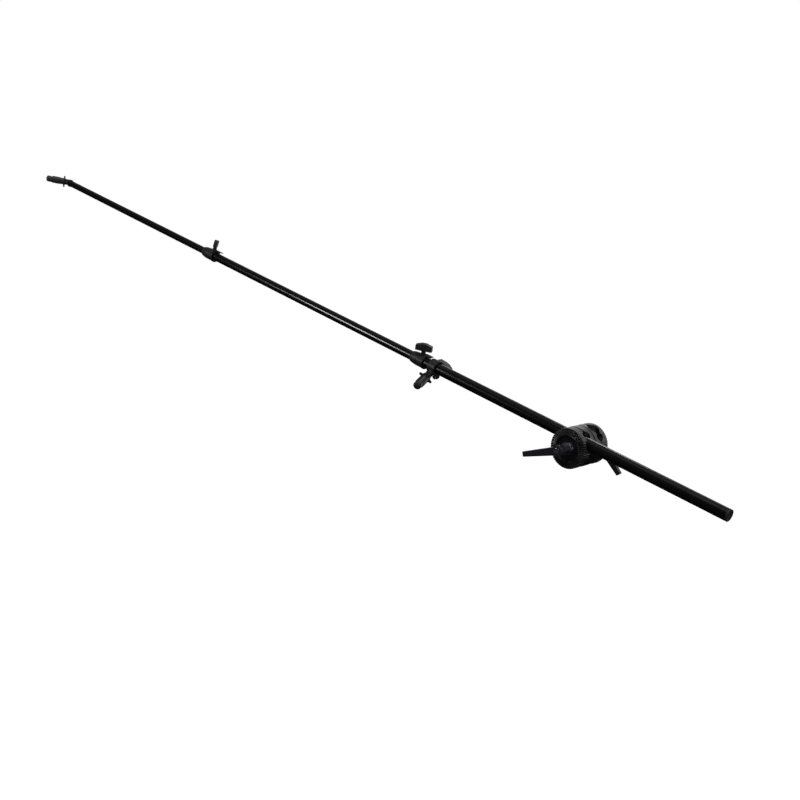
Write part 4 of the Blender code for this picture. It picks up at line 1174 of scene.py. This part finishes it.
@dataclass
class LockCollar:
    """A collar at a tube's mouth: lip, body, tapered nose, raised tongue and screw boss."""

    layout: Layout
    side: str
    ahead: float
    outer_radius: float
    inner_radius: float
    length: float
    wall: float
    nose_wall: float
    roll: float
    tongue_rise: float
    tongue_behind: float
    knob_turn: float
    lip_rise: float = 0.0007
    lip_length: float = 0.0025
    taper: float = 0.0140
    boss_radius: float = 0.0055
    boss_rise: float = 0.0015
    tongue_width: float = 0.0070
    tongue_thickness: float = 0.0016
    tongue_root: float = 0.0030

    def body(self) -> Obj:
        """Makes the turned body of the collar, whose nose narrows in a long soft curve.

        Returns:
            The body.
        """
        body = self.outer_radius + self.wall
        lip, nose = body + self.lip_rise, self.inner_radius + self.nose_wall
        bore, nose_bore = self.outer_radius + GAP, self.inner_radius + GAP
        shoulder = self.layout.collar_mouth + GAP
        profile = [(nose_bore, self.length), (nose, self.length)]
        profile += [((2 * body + nose) / 3, self.length - self.taper / 2), (body, self.length - self.taper)]
        profile += [(body, 2 * self.lip_length), (lip, self.lip_length), (lip, 0.0), (bore, 0.0)]
        profile += [(bore, shoulder), (nose_bore, shoulder)]
        return lathe(rounded(profile, 0.0006, closed=True), FINE, ring=True)

    def tongue(self) -> Obj:
        """Makes the curved tongue that rises from the lip and reaches back over the tube.

        Returns:
            The tongue.
        """
        top = self.outer_radius + self.wall + self.tongue_rise
        low = top - self.tongue_thickness
        half = self.tongue_width / (top + low)
        strip = arc(top, -half, half) + arc(low, half, -half)
        tongue = prism(strip, -self.tongue_behind, self.tongue_root, 0.0004)
        root = arc(top - GAP, -half, half) + arc(self.outer_radius + 2 * GAP, half, -half)
        return combine(tongue, Join.ADD, prism(root, GAP, self.tongue_root - GAP))

    def build(self) -> None:
        """Makes the collar with its knob."""
        seat = self.outer_radius + self.wall + self.boss_rise
        rolled = (math.cos(self.roll), math.sin(self.roll), 0.0)
        place = frame_in(self.layout.boom(self.ahead), (0, 0, 0), rolled, (0, 0, 1))
        upright = shift(0.0, 0.0, self.layout.collar_screw) @ TO_X
        boss = moved(rod(self.boss_radius, self.outer_radius + 2 * GAP, seat, edge=0.0006), upright)
        collar = combine(self.body(), Join.ADD, self.tongue(), boss)
        combine(collar, Join.CUT, moved(LockHoles().cutter(seat), upright))
        dress(collar, f"{self.side}_lock_collar", place, PLASTIC)
        bar = (0.0, math.sin(self.knob_turn), -math.cos(self.knob_turn))
        knob = frame_in(place, (seat, 0.0, self.layout.collar_screw), bar, (1, 0, 0))
        LockKnob(f"{self.side}_lock_knob", knob).build()


# Rim clips and saddle


@dataclass(frozen=True)
class Swivel:
    """The spigot of a rim clip's swivel and the ring that keeps it in its seat."""

    radius: float = 0.0030
    length: float = 0.0024
    retainer_radius: float = 0.0046


SWIVEL = Swivel()


@dataclass
class RimClip:
    """A swivelling, tilting clip whose hooked nose holds the reflector's rim."""

    side: str
    swivel: Matrix
    bend: float
    tail_radius: float = 0.0020
    retainer: float = 0.0009
    disc_radius: float = 0.0067
    disc: float = 0.0018
    pivot_reach: float = 0.0065
    tongue_half: float = 0.0030
    fork_radius: float = 0.0043
    fork_half: float = 0.0060
    slot_depth: float = 0.0050
    pin_radius: float = 0.0021
    pin_half: float = 0.0066
    flange_start: float = 0.0076
    flange: float = 0.0034
    flange_radius: float = 0.0085
    ear_span: float = 0.0130
    ear_root: float = 0.0040
    ear_tip: float = 0.0016
    barrel_radius: float = 0.0080
    waist_radius: float = 0.0073
    waist: float = 0.0050
    barrel_wall: float = 0.0012
    barrel_top: float = 0.0365
    end_wall: float = 0.0035
    base_spigot: float = 0.0030
    plunger_radius: float = 0.0035
    plunger_tail: float = 0.0020
    travel: float = 0.0060
    head_at: float = 0.0150
    head: float = 0.0020
    wire: float = 0.0005
    spring_turns: float = 6.5
    hook_radius: float = 0.0070
    hook_dome: float = 0.0042
    hook_flat: float = 0.0015
    throat: float = 0.0050
    cap: float = 0.0090

    def tab(self, reach: float, base: float) -> Outline:
        """Draws an outline with one straight and one round end.

        Args:
            reach: Where the round end has its centre.
            base: Where the straight end is.

        Returns:
            The outline.
        """
        away = 1.0 if reach > base else -1.0
        ends = [(-self.fork_radius, base), (self.fork_radius, base)]
        return ends + arc(self.fork_radius, 0.0, away * math.pi, 18, (0.0, reach))

    def knuckle(self) -> Obj:
        """Makes the swivelling knuckle: spigot, disc and the tongue of its hinge.

        Returns:
            The knuckle.
        """
        neck = -SWIVEL.length
        tail = neck - self.retainer - 2 * GAP
        profile = [(0.0, self.disc), (self.disc_radius, self.disc), (self.disc_radius, GAP)]
        profile += [(SWIVEL.radius, GAP), (SWIVEL.radius, neck), (self.tail_radius, neck)]
        profile += [(self.tail_radius, tail), (0.0, tail)]
        body = lathe(rounded(profile, 0.0004))
        outline = self.tab(self.pivot_reach, self.disc - GAP)
        tongue = prism(outline, -self.tongue_half, self.tongue_half, 0.0003)
        combine(body, Join.ADD, moved(tongue, ACROSS_X))
        hole = rod(self.pin_radius + GAP, -self.fork_half, self.fork_half, BORE)
        return combine(body, Join.CUT, moved(hole, shift(0.0, 0.0, self.pivot_reach) @ TO_X))

    def fork(self) -> Obj:
        """Makes the clip's fork with its two finger ears and the spigot in the barrel.

        Returns:
            The fork.
        """
        low, top = self.flange_start, self.flange_start + self.flange
        fork = prism(self.tab(0.0, low + GAP), -self.fork_half, self.fork_half, 0.0004)
        moved(fork, ACROSS_X)
        slot, reach = self.tongue_half + GAP, self.fork_radius + OVERCUT
        combine(fork, Join.CUT, block((-slot, -reach, -reach), (slot, reach, self.slot_depth)))
        spigot = self.barrel_radius - self.barrel_wall - GAP
        profile = [(0.0, top + self.base_spigot), (spigot, top + self.base_spigot), (spigot, top)]
        profile += [(self.flange_radius, top), (self.flange_radius, low), (0.0, low)]
        ears = prism(rounded(self.ear_outline(), 0.0012, closed=True), low + GAP, top - GAP, 0.0004)
        combine(fork, Join.ADD, lathe(rounded(profile, 0.0006)), ears)
        hole = rod(self.pin_radius + GAP, -self.pin_half - OVERCUT, self.pin_half + OVERCUT, BORE)
        return combine(fork, Join.CUT, moved(hole, TO_X))

    def ear_outline(self) -> Outline:
        """Returns the outline of the two finger ears, which narrow towards their tips."""
        root, tip, span = self.ear_root, self.ear_tip, self.ear_span
        return [(0.0, -root), (span, -tip), (span, tip), (0.0, root), (-span, tip), (-span, -tip)]

    def barrel(self) -> Obj:
        """Makes the barrel around the plunger and its spring.

        Returns:
            The barrel.
        """
        low = self.flange_start + self.flange + GAP
        bore = self.barrel_radius - self.barrel_wall
        hole, top, roof = self.plunger_radius + GAP, self.barrel_top, self.barrel_top - self.end_wall
        profile = [(hole, top), (self.barrel_radius, top), (self.barrel_radius, low + 2 * self.waist)]
        profile += [(self.waist_radius, low + self.waist), (self.waist_radius, low)]
        profile += [(bore, low), (bore, roof), (hole, roof)]
        return lathe(rounded(profile, 0.0012, closed=True, steps=4), ring=True)

    def hook(self) -> Obj:
        """Makes the plunger with its hooked nose, flush with one side of the barrel.

        Returns:
            The plunger.
        """
        cap_low = self.barrel_top + self.throat
        cap_high = cap_low + self.cap
        stem_top, head_top = cap_low + GAP, self.head_at + self.head + GAP
        thick, thin, end = self.plunger_radius, self.plunger_tail, self.head_at - GAP
        profile = [(0.0, stem_top), (thick, stem_top), (thick, head_top), (thin, head_top), (thin, end)]
        stem = lathe(profile + [(0.0, end)])
        radius = self.hook_radius
        dome = [(radius * math.sin(a), cap_high - self.hook_dome * (1 - math.cos(a)))
                for a in (math.pi / 2 * i / 8 for i in range(9))]
        nose = lathe(dome + [(radius, self.barrel_top + GAP), (0.0, self.barrel_top + GAP)])
        side = radius - self.barrel_radius + GAP
        combine(stem, Join.ADD, moved(nose, shift(0.0, side, 0.0)))
        wide = self.barrel_radius + OVERCUT
        flat = self.barrel_top - self.travel - 2 * GAP
        return combine(stem, Join.CUT, block((-wide, -self.hook_flat, flat), (wide, wide, cap_low), 0.0004))

    def build(self) -> None:
        """Makes the clip on its socket."""
        bent = (0.0, -math.sin(self.bend), math.cos(self.bend))
        tilt = frame_in(self.swivel, (0, 0, self.pivot_reach), (1, 0, 0), bent)
        name = f"{self.side}_clip"
        dress(self.knuckle(), f"{name}_knuckle", self.swivel, PLASTIC)
        dress(self.fork(), f"{name}_base", tilt, PLASTIC)
        pin = rod(self.pin_radius, -self.pin_half, self.pin_half, 48, 0.0005)
        dress(moved(pin, TO_X), f"{name}_pivot_pin", tilt, PLATED)
        dress(self.barrel(), f"{name}_barrel", tilt, PLASTIC)
        dress(self.hook(), f"{name}_hook", tilt, PLASTIC)
        low, high = self.head_at + self.head + GAP, self.barrel_top - self.end_wall - GAP
        radius = (self.plunger_radius + self.barrel_radius - self.barrel_wall) / 2
        spring = dress(coil(radius, self.wire, low, high, self.spring_turns), f"{name}_spring", tilt, STEEL)
        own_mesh(spring)


@dataclass
class Saddle:
    """The slit ring that slides on the thick tube, with its bolt, lock and rim clip."""

    layout: Layout
    behind_collar: float = 0.0215
    width: float = 0.0160
    radius: float = 0.0130
    lean: float = math.radians(22.0)
    slit: float = 0.0012
    lug_height: float = 0.0215
    lug_width: float = 0.0090
    lug_shift: float = -0.0010
    lug_thickness: float = 0.0030
    bolt_at: float = 0.0178
    bolt_radius: float = 0.0020
    bolt_head_radius: float = 0.0036
    bolt_head: float = 0.0020
    bolt_past_nut: float = 0.0008
    hex_radius: float = 0.0017
    hex_depth: float = 0.0012
    nut_radius: float = 0.0038
    nut: float = 0.0022
    nut_cutter: float = 0.02
    leg_angle: float = math.radians(227.0)
    leg_radius: float = 0.0062
    leg_reach: float = 0.0140
    boss_radius: float = 0.0052
    knob_turn: float = math.radians(-15.0)
    clip_along: float = 0.804
    clip_bend: float = math.radians(41.0)

    @property
    def place(self) -> Matrix:
        """The saddle's frame on the boom."""
        return self.layout.boom(self.layout.base_collar - self.behind_collar)

    @property
    def split(self) -> Matrix:
        """The frame of the ring's slit, which leans away from the clip."""
        return frame_in(self.place, (0, 0, 0), (math.cos(self.lean), -math.sin(self.lean), 0.0), (0, 0, 1))

    @property
    def lug_face(self) -> float:
        """How far the lugs' outer faces are from the slit's middle, with the gap before the bolt's head."""
        return self.lug_thickness + self.slit / 2 + GAP

    def across_lugs(self) -> Matrix:
        """Returns the place of the bolt across the lugs."""
        return shift(-self.bolt_at, 0.0, self.lug_shift) @ about("X", math.pi / 2)

    def ring(self) -> Obj:
        """Makes the ring with its slit and lugs, the clip's leg and the lock's boss.

        Returns:
            The ring.
        """
        tube = self.layout.base_radius
        ring = pipe(self.radius, tube + GAP, -self.width / 2, self.width / 2, 0.0006)
        thick = self.lug_thickness + self.slit / 2
        low, high = self.lug_shift - self.lug_width / 2, self.lug_shift + self.lug_width / 2
        inner = (tube + self.radius) / 2
        lugs = block((-self.lug_height, -thick, low), (-inner, thick, high), 0.0008)
        radial = about("Z", self.lean + self.leg_angle) @ TO_X
        leg = moved(rod(self.leg_radius, tube + 2 * GAP, self.leg_reach, edge=0.0005), radial)
        knob_side = about("Z", self.lean + math.pi / 2) @ TO_X
        seat = self.radius + GAP
        boss = moved(rod(self.boss_radius, tube + 2 * GAP, seat), knob_side)
        combine(ring, Join.ADD, lugs, leg, boss)
        reach = self.lug_height + OVERCUT
        slit = block((-reach, -self.slit / 2, -reach), (0.0, self.slit / 2, reach))
        bolt_hole = moved(rod(self.bolt_radius + GAP, -reach, reach, BORE), self.across_lugs())
        roof, top = self.leg_reach - SWIVEL.length, self.leg_reach + OVERCUT
        socket = stepped_hole(SWIVEL.radius + GAP, SWIVEL.retainer_radius + GAP, roof, top)
        lock = LockHoles().cutter(seat)
        return combine(ring, Join.CUT, slit, bolt_hole, moved(socket, radial), moved(lock, knob_side))

    def bolt(self) -> Obj:
        """Makes the bolt through the lugs, with a hexagonal socket in its head.

        Returns:
            The bolt.
        """
        face = self.lug_face
        head, end = face + self.bolt_head, face + self.nut + self.bolt_past_nut
        profile = [(0.0, head), (self.bolt_head_radius, head), (self.bolt_head_radius, face)]
        profile += [(self.bolt_radius, face), (self.bolt_radius, -end), (0.0, -end)]
        bolt = lathe(rounded(profile, 0.0005))
        return combine(bolt, Join.CUT, rod(self.hex_radius, head - self.hex_depth, head + OVERCUT, 6))

    def nut_solid(self) -> Obj:
        """Makes the hexagonal nut, with its corners turned round at both faces.

        Returns:
            The nut.
        """
        low, high = -self.lug_face - self.nut, -self.lug_face
        nut = rod(self.nut_radius, low, high, 6)
        combine(nut, Join.KEEP, rod(self.nut_radius, low, high, ROUND, 0.0007))
        return combine(nut, Join.CUT, rod(self.bolt_radius + GAP, -self.nut_cutter, self.nut_cutter, BORE))

    def build(self) -> None:
        """Makes the saddle with its knob and clip."""
        dress(self.ring(), "saddle_ring", self.split, PLASTIC)
        dress(moved(self.bolt(), self.across_lugs()), "saddle_bolt", self.split, PLATED)
        dress(moved(self.nut_solid(), self.across_lugs()), "saddle_nut", self.split, PLATED)
        bar = (math.sin(self.knob_turn), 0.0, -math.cos(self.knob_turn))
        knob = frame_in(self.place, (0.0, self.radius + GAP, 0.0), bar, (0, 1, 0))
        LockKnob("saddle_lock_knob", knob).build()
        leg = Vector((math.cos(self.leg_angle), math.sin(self.leg_angle), 0.0))
        across = Vector((-leg.y, leg.x, 0.0))
        hinge = across * math.sqrt(1.0 - self.clip_along ** 2) + UP * self.clip_along
        RimClip("saddle", frame_in(self.place, leg * self.leg_reach, hinge, leg), self.clip_bend).build()


@dataclass
class Tip:
    """The socket in the tip tube's mouth, with its rim clip."""

    layout: Layout
    lip: float = 0.0042
    lip_rise: float = 0.0016
    slope: float = 0.0018
    slope_height: float = 0.0030
    length: float = 0.0180
    clip_bend: float = math.radians(46.0)

    def socket(self) -> Obj:
        """Makes the socket: a lip over the tube's mouth and a plug in the tube.

        Returns:
            The socket.
        """
        lip = self.layout.tip_radius + self.lip_rise
        outer = self.layout.tip_radius - self.layout.tube_wall - GAP
        bottom = -self.lip - self.length
        bore, cavity = SWIVEL.radius + GAP, SWIVEL.retainer_radius + GAP
        profile = [(bore, 0.0), (lip - self.slope, 0.0), (lip, -self.slope_height), (lip, -self.lip)]
        profile += [(outer, -self.lip), (outer, bottom)]
        profile += [(cavity, bottom), (cavity, -SWIVEL.length), (bore, -SWIVEL.length)]
        return lathe(rounded(profile, 0.0007, closed=True), ring=True)

    def build(self) -> None:
        """Makes the socket and the clip on it."""
        place = self.layout.boom(self.layout.tip_mouth + self.lip + GAP)
        dress(self.socket(), "tip_socket", place, PLASTIC)
        RimClip("tip", frame_in(place, (0, 0, 0), (1, 0, 0), (0, 0, 1)), self.clip_bend).build()


# Studio


@dataclass
class Studio:
    """Camera, floor, backdrop light, lamps and the dark cards that gloss picks up."""

    camera_at: Triple = (0.97883, -1.44135, 0.34181)
    camera_tilt: float = math.radians(-8.962)
    camera_turn: float = math.radians(43.9655)
    lens: float = 51.2535
    floor_height: float = -1.80
    floor_half: float = 30.0
    floor_colour: Triple = (0.62, 0.62, 0.62)
    floor_lift: float = 0.45
    sky: float = 0.40
    sun: float = 1.90
    sides: Pair = (-9.0, 3.0)
    depths: Pair = (-3.4, 2.5)
    heights: Pair = (-1.70, 1.9)
    horizon: float = -0.60
    strip: Pair = (-0.6, 0.6)
    head_strip: Pair = (-1.4, 1.6)

    def camera(self) -> None:
        """Sets the camera at the photograph's viewing angle."""
        data = bpy.data.cameras.new("camera")
        data.sensor_width = 36.0
        data.lens = self.lens
        data.clip_start = 0.05
        camera = linked("camera", data)
        camera.location = self.camera_at
        camera.rotation_euler = (math.pi / 2 + self.camera_tilt, 0.0, self.camera_turn)
        bpy.context.scene.camera = camera

    def seen(self, board: Board) -> Socket:
        """Wires whether a ray shows the backdrop: to the camera, or in gloss or glass.

        Args:
            board: The board that the nodes go on.

        Returns:
            The mask, 1 where the backdrop shows.
        """
        path = board.put("ShaderNodeLightPath")
        seen = path.outputs["Is Camera Ray"]
        for name in ("Is Glossy Ray", "Is Transmission Ray"):
            either = {0: seen, 1: path.outputs[name]}
            seen = board.put("ShaderNodeMath", either, operation="MAXIMUM").outputs[0]
        return seen

    def world(self) -> None:
        """Makes the world: white where it is seen or mirrored, and a soft light elsewhere."""
        world = bpy.data.worlds.new("studio")
        bpy.context.scene.world = world
        world.use_nodes = True
        board = Board(world.node_tree)
        board.tree.nodes.clear()
        seen = self.seen(board)
        soft = board.put("ShaderNodeBackground", {"Color": WHITE, "Strength": self.sky})
        white = board.put("ShaderNodeBackground", {"Color": WHITE, "Strength": 1.0})
        both = board.put("ShaderNodeMixShader", {0: seen, 1: soft.outputs[0], 2: white.outputs[0]})
        board.put("ShaderNodeOutputWorld", {"Surface": both.outputs[0]})

    def backdrop(self, obj: Obj, name: str) -> Board:
        """Names a floor or card and gives it an empty material.

        Args:
            obj: The floor or card.
            name: Its name and its material's.

        Returns:
            The material's board.
        """
        obj.name = name
        material = bpy.data.materials.new(name)
        material.use_nodes = True
        obj.data.materials.append(material)
        board = Board(material.node_tree)
        board.tree.nodes.clear()
        return board

    def floor(self) -> None:
        """Makes the pale floor, which shows white and keeps the holder's shadow."""
        half = self.floor_half
        corners = [(-half, -half, 0.0), (half, -half, 0.0), (half, half, 0.0), (-half, half, 0.0)]
        floor = moved(solid(corners, [(0, 1, 2, 3)]), shift(0.0, 0.0, self.floor_height))
        board = self.backdrop(floor, "floor")
        pale = board.put("ShaderNodeBsdfDiffuse", {"Color": (*self.floor_colour, 1.0)})
        lift = board.spread(self.seen(board), 0.0, self.floor_lift)
        glow = board.put("ShaderNodeEmission", {"Color": WHITE, "Strength": lift})
        both = board.put("ShaderNodeAddShader", {0: pale.outputs[0], 1: glow.outputs[0]})
        board.put("ShaderNodeOutputMaterial", {"Surface": both.outputs[0]})

    def card(self, name: str, corners: list[Triple], level: float) -> None:
        """Makes a card that only reflections see.

        Args:
            name: The card's name.
            corners: Its four corners.
            level: How bright it is in a reflection, from 0 to 1.
        """
        card = solid(corners, [(0, 1, 2, 3)])
        board = self.backdrop(card, name)
        glow = board.put("ShaderNodeEmission", {"Color": (level, level, level, 1.0), "Strength": 1.0})
        board.put("ShaderNodeOutputMaterial", {"Surface": glow.outputs[0]})
        card.visible_camera = card.visible_diffuse = card.visible_shadow = False
        card.visible_transmission = card.visible_volume_scatter = False

    def flat_card(self, name: str, x: Pair, y: Pair, height: float, level: float) -> None:
        """Lays a card between the sides given."""
        around = ((x[0], y[0]), (x[1], y[0]), (x[1], y[1]), (x[0], y[1]))
        self.card(name, [(*corner, height) for corner in around], level)

    def upright_card(self, name: str, start: Pair, end: Pair, top: float, level: float) -> None:
        """Stands a card on the low card's height, from one place to another."""
        low = self.heights[0]
        self.card(name, [(*start, low), (*end, low), (*end, top), (*start, top)], level)

    def cards(self) -> None:
        """Sets the cards that keep the holder black: below, in front, at both ends and over it."""
        (left, right), (front, back), (low, high) = self.sides, self.depths, self.heights
        (near, far), (head_left, head_right) = self.strip, self.head_strip
        self.flat_card("low_card", self.sides, self.depths, low, 0.006)
        self.upright_card("front_card", (left, front), (right, front), high, 0.014)
        self.upright_card("left_card", (left, front), (left, back), high, 0.03)
        self.upright_card("right_card", (right, front), (right, back), high, 0.20)
        self.upright_card("back_card", (left, back), (right, back), self.horizon, 0.006)
        self.flat_card("dark_ceiling", self.sides, (front, near), high, 0.025)
        self.flat_card("left_ceiling", (left, head_left), self.strip, high, 0.10)
        self.flat_card("head_ceiling", self.head_strip, self.strip, high, 0.17)
        self.flat_card("right_ceiling", (head_right, right), self.strip, high, 0.10)
        self.flat_card("back_ceiling", self.sides, (far, back), high, 0.16)

    def lamp(self, name: str, at: Triple, aim: Triple, size: float, energy: float) -> None:
        """Hangs a soft square lamp that points at a place on the holder.

        Args:
            name: The lamp's name.
            at: Where it hangs.
            aim: Where it points.
            size: How wide it is.
            energy: Its power in watts.
        """
        data = bpy.data.lights.new(name, "AREA")
        data.shape = "SQUARE"
        data.size = size
        data.energy = energy
        lamp = linked(name, data)
        lamp.location = at
        lamp.rotation_euler = (Vector(aim) - Vector(at)).to_track_quat("-Z", "Y").to_euler()
        lamp.visible_camera = False

    def lamps(self) -> None:
        """Hangs the lamps: a broad soft sun, one for the tube's streak, one at the right, one behind."""
        data = bpy.data.lights.new("broad_light", "SUN")
        data.energy = self.sun
        data.angle = math.radians(40.0)
        broad = linked("broad_light", data)
        broad.rotation_euler = Vector((-0.25, 0.30, -1.0)).to_track_quat("-Z", "Y").to_euler()
        self.lamp("streak_light", (-1.43, -1.18, 0.67), (-0.50, -0.03, 0.15), 0.32, 7.0)
        self.lamp("side_light", (1.80, -0.40, 0.30), (0.0, 0.0, 0.0), 0.7, 7.0)
        self.lamp("edge_light", (-0.55, 1.35, 1.35), (0.06, -0.03, 0.0), 0.25, 1.8)

    def build(self) -> None:
        """Sets up the studio."""
        self.camera()
        self.world()
        self.floor()
        self.cards()
        self.lamps()
        bpy.context.scene.view_settings.view_transform = "Standard"


def dress_hidden() -> None:
    """Gives the pieces inside the holder, which keep their solids, their finishes."""
    finishes: dict[Finish, tuple[str, ...]] = {
        STEEL: ("centre_stud", "base_lock_screw", "middle_lock_screw", "saddle_lock_screw",
                "tip_clip_retainer", "saddle_clip_retainer"),
        PLATED: ("tip_clip_rod_nut", "saddle_clip_rod_nut"),
        BRASS: ("base_lock_shoe", "middle_lock_shoe", "saddle_lock_shoe"),
        PLASTIC: ("middle_tube_guide_plug", "tip_tube_guide_plug"),
        FIBRE: ("friction_washer",),
    }
    for finish, nodes in finishes.items():
        for node in nodes:
            obj = frame["nodes"][node]
            for slot in obj.material_slots:
                slot.material = finish.material()
            LOG.info("%s keeps its solid", node)


def main() -> None:
    """Builds the studio and the holder."""
    logging.basicConfig(level=logging.INFO, format="%(name)s %(message)s")
    Studio().build()
    Jaws(LAYOUT).build()
    RatchetLever(LAYOUT, End.REAR, math.radians(57.0)).build()
    RatchetLever(LAYOUT, End.FRONT, math.radians(11.5)).build()
    Tubes(LAYOUT).build()
    at = LAYOUT
    LockCollar(
        at, "base", at.base_collar, at.base_radius, at.middle_radius, length=0.0315, wall=0.0021,
        nose_wall=0.0016, roll=at.base_roll, tongue_rise=0.0035, tongue_behind=0.0125,
        knob_turn=math.radians(29.5),
    ).build()
    LockCollar(
        at, "middle", at.middle_collar, at.middle_radius, at.tip_radius, length=0.0365, wall=0.0031,
        nose_wall=0.0022, roll=at.middle_roll, tongue_rise=0.0018, tongue_behind=0.0165,
        knob_turn=math.radians(-44.0),
    ).build()
    Saddle(LAYOUT).build()
    Tip(LAYOUT).build()
    dress_hidden()


if __name__ == "__main__":
    main()
